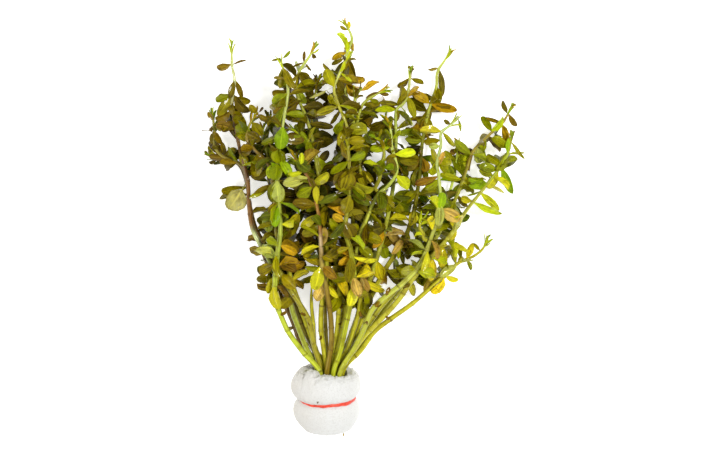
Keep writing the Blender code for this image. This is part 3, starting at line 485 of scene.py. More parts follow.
# leaves that stand out: stem, and for each leaf the pixels of its base and tip, width in mm, tint
markedLeaves = [
    ("stem_09", [(247, 180, 228, 210, 11, "cream"), (232, 63, 216, 69, 4.2, "rust"),
        (233, 63, 246, 59.5, 1.4, "brown"), (235, 80, 230, 98, 3.4, "umber"),
        (236, 80, 242, 98, 3, "rust"), (233, 95, 218, 115, 5, "olive"),
        (234, 96, 248, 112, 6, "umber"), (233, 112, 215, 121, 5, "rust"),
        (235, 113, 246, 126, 6, "olive"), (234, 122, 222, 131, 4.6, "umber"),
        (236, 132, 248, 140, 6, "sage"), (241, 153, 246, 166, 4.6, "olive")]),
    ("stem_14", [(213, 117, 208, 112, 2.6, "rust"), (214, 127, 222, 131, 1.8, "pale"),
        (214, 127, 210, 131, 2.4, "brown"), (215, 133, 212, 144, 4, "umber"),
        (216, 133, 221, 144, 3.4, "rust"), (224, 157, 236, 149, 4.4, "olive"),
        (232, 160, 219, 161, 3.8, "rust")]),
    ("stem_19", [(212, 157, 207, 147, 3, "sage")]),
    ("stem_05", [(250, 124, 262, 135, 5.5, "olive"), (257, 114, 268, 121, 3.4, "rust"),
        (255, 116, 250, 105, 3.4, "olive"), (252, 146, 241, 154, 4.6, "umber")]),
    ("stem_20", [(269, 122, 268, 111, 2, "moss")]),
    ("stem_10", [(272, 184, 251, 198, 3.2, "sage"), (266, 150, 274, 163, 6, "moss"),
        (268, 168, 252, 178, 5.5, "umber")]),
    ("stem_01", [(281, 58, 272, 60.5, 1.2, "olive"), (282, 58, 291, 51, 1.8, "moss"),
        (284, 71, 280, 88, 3.8, "olive"), (286, 72, 293, 88, 4, "olive"),
        (287, 84, 273, 77, 1.8, "tan"), (288, 90, 272, 93, 4.8, "rust"),
        (287, 96, 273, 105, 6.2, "moss"), (286, 106, 277, 127, 5.5, "moss"),
        (283, 127, 280, 149, 7, "bright"), (279, 148, 281, 164, 6.5, "moss"),
        (279, 164, 269, 178, 5.5, "lime"), (278, 180, 279, 202, 7, "pale")]),
    ("stem_11", [(302, 62, 293, 67, 1.2, "rust"), (305, 60, 305, 51, 1.8, "brown"),
        (303, 63, 311, 71, 1.4, "rust"), (309, 57, 316, 58, 2.2, "brown"),
        (313, 51, 319, 49, 1.4, "lime"), (299, 71, 295, 88, 4.2, "olive"),
        (300, 71, 309, 86, 5.5, "umber"), (296, 88, 305, 104, 4.4, "moss"),
        (305, 114, 285, 117, 6.4, "olive"), (316, 158, 325, 176, 6.5, "lime"),
        (338, 272, 345, 294, 5, "yellow"), (336, 262, 355, 267, 3.8, "orange")]),
    ("stem_02", [(300, 165, 321, 151, 6, "tan"), (322, 268, 315, 290, 7, "spring"),
        (321, 241, 324, 228, 4, "pink")]),
    ("stem_06", [(323, 284, 316, 301, 6, "pink")]),
    ("stem_03", [(338, 78, 323, 65, 2.4, "olive"), (337, 79, 321, 83, 3, "umber"),
        (340, 75, 352, 82, 2, "lime"), (334, 89, 310, 99, 1.5, "cream"),
        (349, 179, 336, 187, 7.6, "sage"), (347, 222, 333, 215, 4.4, "orange"),
        (347, 236, 331, 220, 4.6, "sage")]),
    ("stem_10", [(283, 238, 297, 216, 6.5, "spring")]),
    ("stem_15", [(318, 243, 303, 255, 6, "spring")]),
    ("stem_09", [(262, 246, 273, 257, 6.5, "pale")]),
    ("stem_05", [(278, 250, 270, 237, 5.5, "pale")]),
    ("stem_19", [(271, 272, 258, 268, 5.5, "moss"), (276, 286, 257, 284, 5, "dead")]),
    ("stem_20", [(288, 272, 293, 290, 5, "moss")]),
    ("stem_10", [(292, 281, 302, 288, 4, "amber")]),
    ("stem_16", [(349, 29, 340, 26, 2, "olive"), (350, 31, 349, 21, 2, "yellow"),
        (351, 41, 344, 49, 2.2, "amber"), (352, 41, 353, 51, 2.2, "amber"), (347, 53, 333, 60, 3.4, "amber"),
        (344, 63, 332, 64, 2.6, "olive"), (345, 62, 355, 77, 5.4, "rust"),
        (345, 78, 361, 88, 7.2, "amber")]),
    ("side_shoot_3", [(361, 89, 381, 80, 3.8, "amber")]),
    ("stem_12", [(379, 92, 366, 98, 2, "brown"), (381, 91, 389, 95, 2, "brown")]),
    ("stem_17", [(397, 106, 380, 102, 3, "olive"), (396, 111, 376, 110, 3.8, "lime"),
        (397, 108, 396, 121, 3.2, "olive"), (410, 82, 398, 88, 3.6, "rust"),
        (410, 82, 424, 84, 2.8, "olive"), (407, 95, 398, 105, 3.4, "olive"),
        (408, 96, 415, 117, 4, "sage"), (411, 72, 408, 66, 1.6, "olive"),
        (411, 73, 415, 69, 1.6, "olive")]),
    ("stem_21", [(438, 67, 428, 70, 2, "tan"), (438, 70, 442, 95, 3.6, "umber"),
        (435, 91, 438, 104, 4.4, "olive"), (431, 104, 412, 93, 5.4, "amber"),
        (431, 105, 456, 111, 5, "amber"), (427, 117, 409, 119, 3.6, "rust"),
        (426, 118, 429, 131, 5, "olive"), (423, 133, 398, 134, 4.4, "moss")]),
    ("stem_04", [(456, 122, 461, 131, 1.4, "moss"), (451, 125, 444, 120, 2.4, "umber"),
        (441, 133, 455, 146, 2.8, "sage"), (441, 133, 420, 130, 5, "spring"),
        (441, 141, 424, 142, 4, "olive"), (440, 150, 429, 146, 3.6, "pale"),
        (438, 166, 444, 152, 2.6, "pink"), (439, 176, 415, 186, 4.2, "dead")]),
    ("stem_21", [(421, 157, 427, 172, 6.2, "orange"), (420, 161, 404, 170, 6, "tan")]),
    ("stem_07", [(395, 173, 409, 189, 6.4, "lime")]),
    ("stem_12", [(361, 170, 372, 182, 6, "yellow")]),
    ("stem_22", [(452, 184, 448, 166, 7, "moss"), (457, 153, 461, 170, 5.6, "sage"),
        (458, 147, 450, 152, 3.4, "brown"), (458, 148, 472, 150, 4.4, "brown")]),
    ("stem_18", [(472, 154, 469, 171, 3.2, "brown"), (492, 132, 481, 117, 4, "moss"),
        (503, 122, 487, 117, 2.2, "rust"), (504, 121, 508, 146, 3.8, "amber"),
        (511, 110, 502, 100, 3, "umber"), (512, 109, 516, 104, 1.4, "olive"),
        (512, 111, 517, 127, 3, "rust")]),
    ("stem_08", [(510, 147, 524, 159, 2.2, "sage"), (509, 149, 492, 138, 5, "sage"),
        (508, 156, 496, 170, 6, "moss"), (500, 168, 513, 194, 5, "bright"),
        (498, 172, 488, 189, 5, "spring"), (494, 176, 480, 170, 4, "moss"),
        (471, 205, 502, 215, 4.6, "lime"), (474, 203, 461, 198, 4, "spring"),
        (481, 193, 468, 196, 1.2, "moss"), (455, 228, 449, 239, 4.2, "spring"),
        (430, 259, 431, 281, 6.2, "yellow"), (444, 243, 468, 251, 3, "spring")]),
    ("stem_13", [(467, 259, 471, 270, 2.6, "moss"), (480, 252, 473, 244, 2, "sage"),
        (485, 246, 491, 243, 1.4, "pale"), (457, 264, 440, 277, 5, "pale")]),
    ("stem_18", [(430, 249, 413, 255, 4.8, "umber")]),
    ("stem_17", [(385, 229, 375, 247, 4.8, "orange"), (381, 244, 386, 257, 6, "moss")]),
    ("stem_21", [(409, 226, 414, 211, 5.5, "yellow"), (404, 240, 419, 246, 5, "orange"),
        (400, 247, 388, 240, 4, "pink")]),
    ("stem_17", [(376, 262, 381, 280, 7, "yellow")]),
    ("stem_22", [(414, 270, 401, 273, 2.4, "rust")]),
]

# openings between the leaves, where the table shows: left, top, right and bottom
openings = [
    (100, 0, 203, 300), (203, 0, 213, 104), (203, 168, 244, 300), (244, 246, 252, 300), (252, 264, 256, 300),
    (252, 292, 268, 330), (214, 74, 226, 90), (223, 132, 233, 145), (231, 141, 238, 149),
    (245, 115, 250, 125), (250, 121, 265, 128), (226, 104, 230, 112), (247, 0, 268, 99), (244, 64, 252, 95),
    (268, 0, 279, 50), (262, 63, 277, 75), (294, 0, 303, 58), (286, 58, 295, 69), (312, 62, 321, 75),
    (320, 0, 333, 60), (252, 179, 268, 186), (252, 198, 269, 207), (258, 190, 269, 200),
    (261, 172, 269, 182), (251, 214, 257, 224), (322, 114, 333, 127), (331, 109, 340, 118),
    (325, 143, 334, 157), (345, 90, 357, 101), (315, 99, 321, 107), (292, 272, 300, 281),
    (301, 291, 309, 330), (359, 0, 396, 78), (417, 0, 427, 78), (426, 72, 432, 91), (444, 64, 480, 101),
    (456, 0, 560, 97), (400, 104, 408, 127), (418, 105, 426, 114), (431, 112, 450, 126),
    (448, 127, 463, 139), (462, 98, 479, 143), (478, 98, 500, 114), (393, 121, 405, 126),
    (398, 135, 408, 147), (376, 151, 384, 160), (378, 160, 386, 169), (376, 180, 382, 191),
    (389, 187, 401, 198), (420, 142, 428, 150), (425, 149, 434, 159), (444, 138, 451, 149),
    (471, 165, 480, 176), (518, 98, 560, 146), (514, 160, 560, 205), (470, 190, 500, 203),
    (504, 200, 560, 300), (477, 212, 504, 300), (459, 228, 478, 243), (442, 226, 448, 237),
    (398, 225, 405, 235), (379, 257, 392, 265), (405, 256, 419, 265), (458, 266, 480, 300),
    (444, 282, 460, 300), (384, 279, 400, 288),
]

# pixel rows between which a stem has only leaves of the list above
bareRows = {
    "stem_01": [(40, 83)], "stem_03": [(40, 62)], "stem_04": [(105, 200)],
    "stem_08": [(120, 150), (186, 228)], "stem_09": [(30, 94), (165, 400)], "stem_11": [(30, 70)],
    "stem_12": [(80, 94)], "stem_13": [(228, 258)], "stem_14": [(100, 132)], "stem_16": [(10, 50)],
    "stem_17": [(60, 94)], "stem_18": [(98, 128)], "stem_21": [(40, 90)],
}


def lyingHeight(row, px, py):
    # the rows spread apart away from the foam, and sink at the sides and the tips
    bundled = bundle["height"] + (2 - row) * bundle["rowStep"]
    side = fan["sideDrop"] * smooth(abs(px - fan["side"]) / fan["sideRun"])
    tip = fan["tipDrop"] * smooth((fan["tip"] - py) / fan["tipRun"])
    spread = fan["floor"] + (fan["heights"][row] - fan["floor"]) * (1 - side) * (1 - tip)
    return mix(bundled, spread, smooth((fan["start"] - py) / fan["run"]))


def curveThrough(points, step):
    # a smooth curve through the points, read at even steps
    pieces = 12
    fine = []
    ends = [points[0] * 2 - points[1]] + points + [points[-1] * 2 - points[-2]]
    for a, b, c, d in zip(ends, ends[1:], ends[2:], ends[3:]):
        for i in range(pieces):
            t = i / pieces
            fine.append(0.5 * (2 * b + (c - a) * t + (2 * a - 5 * b + 4 * c - d) * t * t
                               + (3 * b - a - 3 * c + d) * t ** 3))
    fine.append(points[-1])
    reach = [0.0]
    for p, q in zip(fine, fine[1:]):
        reach.append(reach[-1] + (q - p).length)
    count = round(reach[-1] / step)
    even, k = [], 0
    for i in range(count + 1):
        s = reach[-1] * i / count
        while k < len(fine) - 2 and reach[k + 1] < s:
            k += 1
        t = (s - reach[k]) / (reach[k + 1] - reach[k])
        even.append(fine[k].lerp(fine[k + 1], min(t, 1.0)))
    return even, reach[-1]


def sideAt(along, side, quarters):
    # one of the four sides of a stem, or a direction between them
    return Quaternion(along, pi / 2 * quarters) @ side


class Stem:
    # a stem's middle line, with its direction and its sides at any distance from its cut end

    def __init__(self, name, points, roll, thick=stalks["thick"]):
        self.name, self.thick, self.roll = name, thick, roll
        self.line, self.length = curveThrough(points, 1 * mm)
        self.step = self.length / (len(self.line) - 1)
        self.along = []
        for i in range(len(self.line)):
            before, after = self.line[max(i - 1, 0)], self.line[min(i + 1, len(self.line) - 1)]
            self.along.append((after - before).normalized())
        self.side = [squared(Vector((1, 0, 0)), self.along[0])]
        for a, b in zip(self.along, self.along[1:]):
            self.side.append(squared(a.rotation_difference(b) @ self.side[-1], b))
        self.joints = []

    def at(self, s):
        t = min(max(s / self.step, 0.0), len(self.line) - 1.001)
        i = int(t)
        t -= i
        along = self.along[i].lerp(self.along[i + 1], t).normalized()
        side = squared(self.side[i].lerp(self.side[i + 1], t), along)
        turn = self.roll * smooth((s - stalks["turnFrom"]) / stalks["turnRun"])
        slim = smooth((s / self.length - stalks["slimFrom"]) / stalks["slimRun"])
        half = 0.5 * mix(self.thick, stalks["tipThick"], slim)
        return self.line[i].lerp(self.line[i + 1], t), along, Quaternion(along, turn) @ side, half

    def age(self, s):
        return (self.length - s) / stalks["adult"]

    def nearest(self, point):
        # the distance along the stem that is nearest to a point, seen from above
        flat = [(p.xy - point.xy).length for p in self.line]
        return flat.index(min(flat)) * self.step

    def ring(self, s):
        centre, along, side, half = self.at(s)
        up = along.cross(side)
        return [centre + (side * a + up * b) * half for a, b in ((1, -1), (1, 1), (-1, 1), (-1, -1))]


def leafPoints(root, reach, face, length, width, curl):
    # a leaf's rough sections, each left, right and keel, and its tip, to find room for it
    shares = growth["sections" if length >= growth["young"] else "youngSections"]
    keel = growth["keel"]
    across = face.cross(reach).normalized()
    point, sections = root.copy(), []
    for share, part in shares:
        turn = Quaternion(across, curl * (len(sections) + 0.5) / len(shares))
        point = point + (turn @ reach) * length * share
        up = turn @ face
        half = across * width * part / 2
        sections.append([point - half, point + half, point - up * keel])
    tip = sections.pop()[0]
    for section in sections:
        for i, p in enumerate(section):
            section[i] = Vector((p.x, p.y, max(p.z, 0.0 if i == 2 else keel)))
    return sections, Vector((tip.x, tip.y, max(tip.z, keel / 2)))


def leafShell(root, sections, tip, grow, bladeOnly=False):
    # a leaf as a closed shell that is larger by grow, to test what it would touch
    left, right, keel = sections[0]
    up = ((left + right) / 2 - keel).normalized()
    out = (right - left).normalized()
    start = root.lerp((left + right) / 2, 0.6 if bladeOnly else 0.0)
    stalk = out * (grow if bladeOnly else grow + stalks["thick"] / 2)
    ring = [start - stalk] + [section[0] - out * grow for section in sections]
    ring += [tip + (tip - root).normalized() * grow]
    ring += [section[1] + out * grow for section in sections[::-1]] + [start + stalk]
    top = [p + up * grow for p in ring]
    low = [p - up * (grow + growth["keel"] * 0.5) for p in ring]
    n = len(ring)
    faces = [list(range(n)), list(range(2 * n - 1, n - 1, -1))]
    faces += [[i, (i + 1) % n, (i + 1) % n + n, i + n] for i in range(n)]
    return top + low, faces


class Crowd:
    # everything placed so far, to keep new leaves clear of it

    def __init__(self):
        self.items = []

    def limits(self, points):
        return [[side(p[i] for p in points) for i in range(3)] for side in (min, max)]

    def add(self, owner, points, faces):
        self.items.append((owner, *self.limits(points), BVHTree.FromPolygons(points, faces)))

    def hits(self, points, faces, skip=None, only=None):
        low, high = self.limits(points)
        tree = None
        for owner, otherLow, otherHigh, other in self.items:
            if owner == skip or (only is not None and owner != only):
                continue
            if all(low[i] <= otherHigh[i] and otherLow[i] <= high[i] for i in range(3)):
                tree = tree or BVHTree.FromPolygons(points, faces)
                if tree.overlap(other):
                    return True
        return False


crowd = Crowd()


def addTube(stem):
    # a stem's tube in short lengths, so that each is tested only near it
    count = max(1, round(stem.length / (12 * mm)))
    for i in range(count):
        marks = [stem.length * (i + j / 3) / count for j in range(4)]
        points = [p for s in marks for p in stem.ring(s)]
        faces = [[4 * r + k, 4 * r + (k + 1) % 4, 4 * r + 4 + (k + 1) % 4, 4 * r + 4 + k]
                 for r in range(3) for k in range(4)]
        crowd.add(stem.name, points, faces)


def newLeaf(*values):
    return dict(zip(("root", "reach", "face", "length", "width", "curl", "age", "tint", "along"), values))


def tryLeaf(stem, joint, sideNumber, reach, face, length, width, curl, gap=growth["gap"], tint=None):
    centre, along, side, half = stem.at(joint["at"])
    root = centre + sideAt(along, side, sideNumber) * half
    if face.dot(along) < 0 and abs(face.dot(along)) > 0.2:
        face = -face
    sections, tip = leafPoints(root, reach, face, length, width, curl)
    if crowd.hits(*leafShell(root, sections, tip, gap), skip=stem.name):
        return False
    if crowd.hits(*leafShell(root, sections, tip, gap / 2, bladeOnly=True), only=stem.name):
        return False
    age = stem.age(joint["at"])
    joint["leaves"][sideNumber] = newLeaf(root, reach, face, length, width, curl, age, tint, along)
    crowd.add(stem.name, *leafShell(root, sections, tip, 0.0))
    return True


def isBare(stem, row, more=()):
    return any(top < row < bottom for top, bottom in [*bareRows.get(stem.name, []), *more])


def growPair(stem, joint, turned, age, chance, gap=growth["gap"], small=1.0, extra=False):
    # the two leaves of a joint: young ones point up the stem, old ones lie back
    centre, along, side, half = stem.at(joint["at"])
    if isBare(stem, seenAt(centre)[1]):
        return
    for sideNumber in (turned, turned + 2):
        if sideNumber in joint["leaves"]:
            continue
        out = sideAt(along, side, sideNumber)
        for attempt in range(growth["tries"]):
            lean = mix(*growth["lean"], smooth(age * growth["leanRate"]))
            lean = radians(lean + chance.uniform(*growth["leanSpread"]))
            swing = chance.uniform(-growth["swing"], growth["swing"]) * (1 + attempt / 6)
            aim = Quaternion(along, swing) @ out
            reach = along * cos(lean) + aim * sin(lean)
            reach = Vector((reach.x, reach.y, reach.z * 0.5)).normalized()
            if reach.dot(out) < growth["leastOut"]:
                continue
            upper = along * sin(lean) - aim * cos(lean)
            flat = Vector((0, 0, 1 if upper.z >= 0 else -1))
            face = squared(upper.lerp(flat, growth["flat"] * chance.uniform(*growth["flatSpread"])), reach)
            size = mix(growth["size"], 1.0, smooth(age * growth["sizeRate"]))
            size *= chance.uniform(*growth["sizeSpread"])
            size *= 1.0 if attempt < growth["tries"] // 2 else growth["lateSize"]
            length = growth["long"] * size * small
            width = length * growth["wide"] * chance.uniform(*growth["widths"])
            curl = radians(chance.uniform(*growth["curl"]))
            root = centre + out * half
            if inOpening(root + reach * length) or inOpening(root + reach * length / 2):
                continue
            if extra and not keepsClear(root, reach, face, length, width):
                continue
            if tryLeaf(stem, joint, sideNumber, reach, face, length, width, curl, gap):
                break


def jointNear(stem, s):
    # the joint at this place, or a new one where there is room for it
    nearest = min(stem.joints, key=lambda joint: abs(joint["at"] - s))
    if abs(nearest["at"] - s) < 1.6 * stalks["joint"]:
        return nearest
    joint = {"at": min(s, stem.length - stalks["joint"]), "leaves": {}}
    stem.joints.append(joint)
    stem.joints.sort(key=lambda other: other["at"])
    return joint


# leaves that stand out: heights of the tip beside the stem, in the order they are tried
marked = {"lifts": (-1.5, 1, -4, 3.5, 6, -7), "curl": 0.15}


def growMarked(stem, base, tip, width, tint):
    # a leaf from a stem to a traced tip, from the side of the stem that looks that way
    joint = jointNear(stem, stem.nearest(placed(*base, stem.at(stem.length / 2)[0].z)))
    joint = jointNear(stem, stem.nearest(placed(*base, stem.at(joint["at"])[0].z)))
    centre, along, side, half = stem.at(joint["at"])
    for lift in marked["lifts"]:
        target = placed(*tip, max(centre.z + lift * mm, growth["keel"]))
        way = (target - centre).normalized()
        sides = [n for n in range(4) if n not in joint["leaves"]]
        if not sides:
            return
        best = max(sides, key=lambda n: way.dot(sideAt(along, side, n)))
        root = centre + sideAt(along, side, best) * half
        reach = (target - root).normalized()
        length = (target - root).length
        if tryLeaf(stem, joint, best, reach, squared(Vector((0, 0, 1)), reach), length, width * mm,
                   marked["curl"], tint=tint):
            return


def bundleMiddle(y):
    t = (y - bundle["cutY"]) / (bundle["rimY"] - bundle["cutY"])
    return Vector((mix(bundle["endX"], bundle["rimX"], t), y, bundle["height"]))


def stemRoute(row, place, trace):
    # straight through the foam in its place in the bundle, then along the traced route
    count = sum(1 for other in stems.values() if other[0] == row)
    offset = Vector(((place - (count - 1) / 2) * bundle["slotStep"], 0, (2 - row) * bundle["rowStep"]))
    middleY = mix(bundle["cutY"], bundle["rimY"], 0.5)
    inside = [bundleMiddle(y) + offset for y in (bundle["cutY"], middleY, bundle["rimY"])]
    return inside + [placed(px, py, lyingHeight(row, px, py)) for px, py in trace]


def planJoints(stem, start, gap):
    # pairs of leaves, closer together towards the tip
    s = stem.length - stalks["tipGap"]
    while s > start:
        stem.joints.insert(0, {"at": s, "leaves": {}})
        s -= mix(stalks["youngGap"], gap, smooth((stem.length - s) / stalks["youngRun"]))


def leafStart(stem, row, firstRow, trace):
    # the distance along a stem where its route passes a pixel row
    for p, q in zip(trace, trace[1:]):
        if q[1] <= firstRow < p[1]:
            t = (p[1] - firstRow) / (p[1] - q[1])
            return stem.nearest(placed(mix(p[0], q[0], t), firstRow, lyingHeight(row, *p)))
    return 0.0


def planStems():
    planned = {}
    for number, (name, (row, place, firstRow, trace)) in enumerate(stems.items()):
        chance = random.Random(number)
        stem = Stem(name, stemRoute(row, place, trace), radians(chance.uniform(*stalks["turn"])))
        stem.chance, stem.start = chance, leafStart(stem, row, firstRow, trace)
        planJoints(stem, stem.start, stalks["gaps"][row])
        planned[name] = stem
    for number, (name, (parentName, fork, trace)) in enumerate(shoots.items()):
        parent, row = planned[parentName], stems[parentName][0]
        centre, along, side, half = parent.at(parent.nearest(placed(*fork, lyingHeight(row, *fork))))
        route = [placed(px, py, lyingHeight(row, px, py)) for px, py in trace]
        out = squared((route[0] - centre).normalized(), along)
        start = centre + out * (half * sqrt(2) + growth["gap"])
        bend = start + out * stalks["shootThick"]
        shoot = Stem(name, [start, bend] + route, 0.0, stalks["shootThick"])
        shoot.chance, shoot.start = random.Random(seeds["shoots"] + number), stalks["shootStart"]
        planJoints(shoot, shoot.start, stalks["gaps"][row])
        planned[name] = shoot
    return planned


def withChance(planned, seed):
    return [(stem, random.Random(seed + number)) for number, stem in enumerate(planned.values())]


def everyLeaf(planned):
    return [(stem, joint, leaf) for stem in planned.values() for joint in stem.joints
            for leaf in joint["leaves"].values()]


def growSolidLeaves(planned):
    # the leaves that the solids have too, drawn in the same order
    for stem in planned.values():
        addTube(stem)
    for name, leaves in markedLeaves:
        for x, y, tipX, tipY, width, tint in leaves:
            growMarked(planned[name], (x, y), (tipX, tipY), width, tint)
    for level in range(max(len(stem.joints) for stem in planned.values())):
        for number, stem in enumerate(planned.values()):
            if level < len(stem.joints):
                joint = stem.joints[-1 - level]
                growPair(stem, joint, (level + number) % 2, stem.age(joint["at"]), stem.chance)
    for stem in planned.values():
        stem.joints = [joint for joint in stem.joints if joint["leaves"]]


# smaller openings, that the leaves below leave free too
clearings = [
    (447, 266, 459, 282), (487, 139, 501, 150), (341, 30, 348, 43), (462, 224, 471, 229),
    (346, 90, 357, 101), (495, 184, 504, 193), (401, 107, 408, 116), (208, 157, 217, 162),
    (472, 165, 481, 176), (411, 86, 417, 91), (293, 272, 298, 279), (474, 133, 484, 142),
    (410, 282, 415, 294), (237, 164, 243, 173), (270, 292, 272, 304), (480, 207, 490, 213),
    (461, 252, 465, 257), (394, 122, 399, 129), (401, 121, 410, 124), (397, 92, 404, 96),
    (325, 122, 330, 125), (434, 257, 438, 262), (402, 143, 408, 146), (287, 68, 293, 72),
    (511, 151, 516, 153), (334, 109, 337, 113), (300, 283, 309, 332), (238, 183, 245, 196),
    (376, 155, 384, 168), (371, 289, 401, 319), (353, 54, 358, 60),
]

filling = {
    "gap": 0.05 * mm,  # closer to each other than the solids' leaves
    "spread": 7.0 * mm,  # joints further apart than this get a pair between them
    "small": 0.92,
    # share of joints with a young shoot beside the leaves, how far on it sits, its leaves' size and age
    "axil": 0.45, "axilAhead": 1.2 * mm, "axilLeaf": 0.84, "axilAge": 0.12,
}


def growFilling(planned):
    # the bunch is denser than its solids: pairs between the joints, and young shoots beside the leaves
    gap, spread, small = filling["gap"], filling["spread"], filling["small"]
    for stem, chance in withChance(planned, seeds["filling"]):
        places = sorted(joint["at"] for joint in stem.joints)
        between = [{"at": (a + b) / 2, "leaves": {}} for a, b in zip(places, places[1:]) if b - a > spread]
        for joint in between + stem.joints:
            turned = chance.randint(0, 1)
            growPair(stem, joint, turned, stem.age(joint["at"]), chance, gap, small, extra=True)
        for joint in list(stem.joints):
            if chance.random() < filling["axil"]:
                axil = {"at": joint["at"] + filling["axilAhead"], "leaves": {}}
                turned = chance.randint(0, 1)
                growPair(stem, axil, turned, filling["axilAge"], chance, gap, filling["axilLeaf"], extra=True)
                between.append(axil)
        stem.joints = sorted(stem.joints + between, key=lambda joint: joint["at"])


cover = {
    "gap": 0.02 * mm, "tries": 12, "tipFree": 13 * mm,
    "steps": (4.0 * mm, 8.5 * mm),  # between leaves that lie over a stem
    "openStems": 378.0, "thinner": 2.1,  # to the right of this pixel the steps are longer
    "heading": 45, "rise": (0.0, 0.4), "tilt": (-0.5, 0.5),  # degrees off the stem, up and to the side
    "long": (0.75, 1.05), "wide": (0.42, 0.7), "curl": (0, 50),
    # pixel rows between which nothing lies over a stem
    "bare": {"stem_01": [(50, 126), (208, 400)], "stem_02": [(146, 245)], "stem_03": [(50, 110), (196, 262)],
             "stem_07": [(130, 240)], "stem_11": [(36, 92), (168, 204), (250, 290)], "stem_14": [(100, 400)],
             "stem_16": [(10, 62)], "stem_17": [(170, 215)], "stem_19": [(140, 400)], "stem_21": [(222, 275)],
             "stem_22": [(130, 190), (230, 280)], "side_shoot_1": [(130, 200)], "side_shoot_2": [(200, 250)]},
}


def growCover(planned):
    # leaves that lie over the stems, pointing every way, as they do in a heap seen from above
    for stem, chance in withChance(planned, seeds["cover"]):
        s = stem.start
        while s < stem.length - cover["tipFree"]:
            joint = {"at": s, "leaves": {}, "loose": True}
            centre, along, side, half = stem.at(s)
            column, row = seenAt(centre)
            s += chance.uniform(*cover["steps"]) * (cover["thinner"] if column > cover["openStems"] else 1.0)
            if isBare(stem, row, cover["bare"].get(stem.name, [])):
                continue
            top = max(range(4), key=lambda n: sideAt(along, side, n).z)
            ahead = Vector((along.x, along.y, 0)).normalized()
            aside = Vector((-ahead.y, ahead.x, 0))
            for attempt in range(cover["tries"]):
                angle = radians(chance.gauss(0, cover["heading"]))
                angle += pi if chance.random() < 0.5 else 0
                reach = ahead * cos(angle) + aside * sin(angle)
                reach = (reach + Vector((0, 0, chance.uniform(*cover["rise"])))).normalized()
                face = Vector((chance.uniform(*cover["tilt"]), chance.uniform(*cover["tilt"]), 1))
                face = squared(face, reach)
                length = growth["long"] * chance.uniform(*cover["long"])
                width = length * chance.uniform(*cover["wide"])
                curl = radians(chance.uniform(*cover["curl"]))
                if not keepsClear(centre, reach, face, length, width):
                    continue
                if tryLeaf(stem, joint, top, reach, face, length, width, curl, cover["gap"]):
                    stem.joints.append(joint)
                    break
        stem.joints.sort(key=lambda joint: joint["at"])


buds = {
    "starts": (6.8 * mm, 4.0 * mm),  # before a stem's tip
    "lean": (3.0, 14.0),  # degrees off the stem
    "turn": 0.3, "sunk": 0.6,  # off its side in radians, and their place in its thickness
    "long": (5.2 * mm, 7.2 * mm), "shares": (1.0, 0.75), "wide": 0.24,
    "curl": (-0.2, 0.5), "age": 0.02,
    "tints": ("lime", "lime", "bright", "amber"),
}


def growBuds(planned):
    # the youngest leaves, narrow and upright around each tip
    for stem, chance in withChance(planned, seeds["buds"]):
        for i, start in enumerate(buds["starts"]):
            joint = {"at": stem.length - start, "leaves": {}, "loose": True}
            centre, along, side, half = stem.at(joint["at"])
            for sideNumber in (i, i + 2):
                turn = pi / 2 * sideNumber + chance.uniform(-buds["turn"], buds["turn"])
                out = Quaternion(along, turn) @ side
                lean = radians(chance.uniform(*buds["lean"]))
                length = chance.uniform(*buds["long"]) * buds["shares"][i]
                reach = along * cos(lean) + out * sin(lean)
                face = (along * sin(lean) - out * cos(lean)).normalized()
                joint["leaves"][sideNumber] = newLeaf(
                    centre + out * half * buds["sunk"], reach, face, length, length * buds["wide"],
                    chance.uniform(*buds["curl"]), buds["age"], chance.choice(buds["tints"]), along)
            stem.joints.append(joint)


# shrivelled bits of old leaves: pixel, length in mm, direction in degrees, tint
scraps = [
    ((290.5, 324), 4, 200, "brown"), ((275, 313), 4.5, 110, "brown"), ((280, 320), 3.6, 40, "dead"),
    ((326.5, 335), 3, 250, "brown"), ((338, 328), 3, 20, "dead"), ((357, 313.5), 4.6, 300, "dead"),
    ((354, 305), 4.2, 80, "tan"), ((382, 293.6), 5, 60, "brown"), ((381.6, 312), 3.2, 320, "brown"),
    ((376, 302), 4.8, 200, "dead"), ((374, 311), 4, 30, "brown"), ((409, 287), 5, 230, "umber"),
    ((436, 283), 4, 300, "brown"), ((450, 254), 6, 100, "umber"), ((303, 318), 3.4, 150, "brown"),
    ((341, 313), 3.6, 60, "dead"), ((365, 322), 3.4, 250, "brown"), ((312, 330), 3, 100, "brown"),
]
# how near to a stem they stick in pixels, rise, width beside length, curl
scrapShape = {"near": 5, "rise": 0.3, "face": (0.3, 0.2, 1), "wide": 0.5, "curl": 0.9}


def stemPlaces(planned):
    # places along all stems: height of the top, pixel, stem, distance from its cut end
    places = []
    for stem in planned.values():
        for i in range(int(stem.length / mm)):
            centre, along, side, half = stem.at(i * mm)
            places.append((centre.z + half, seenAt(centre), stem.name, i * mm))
    return places


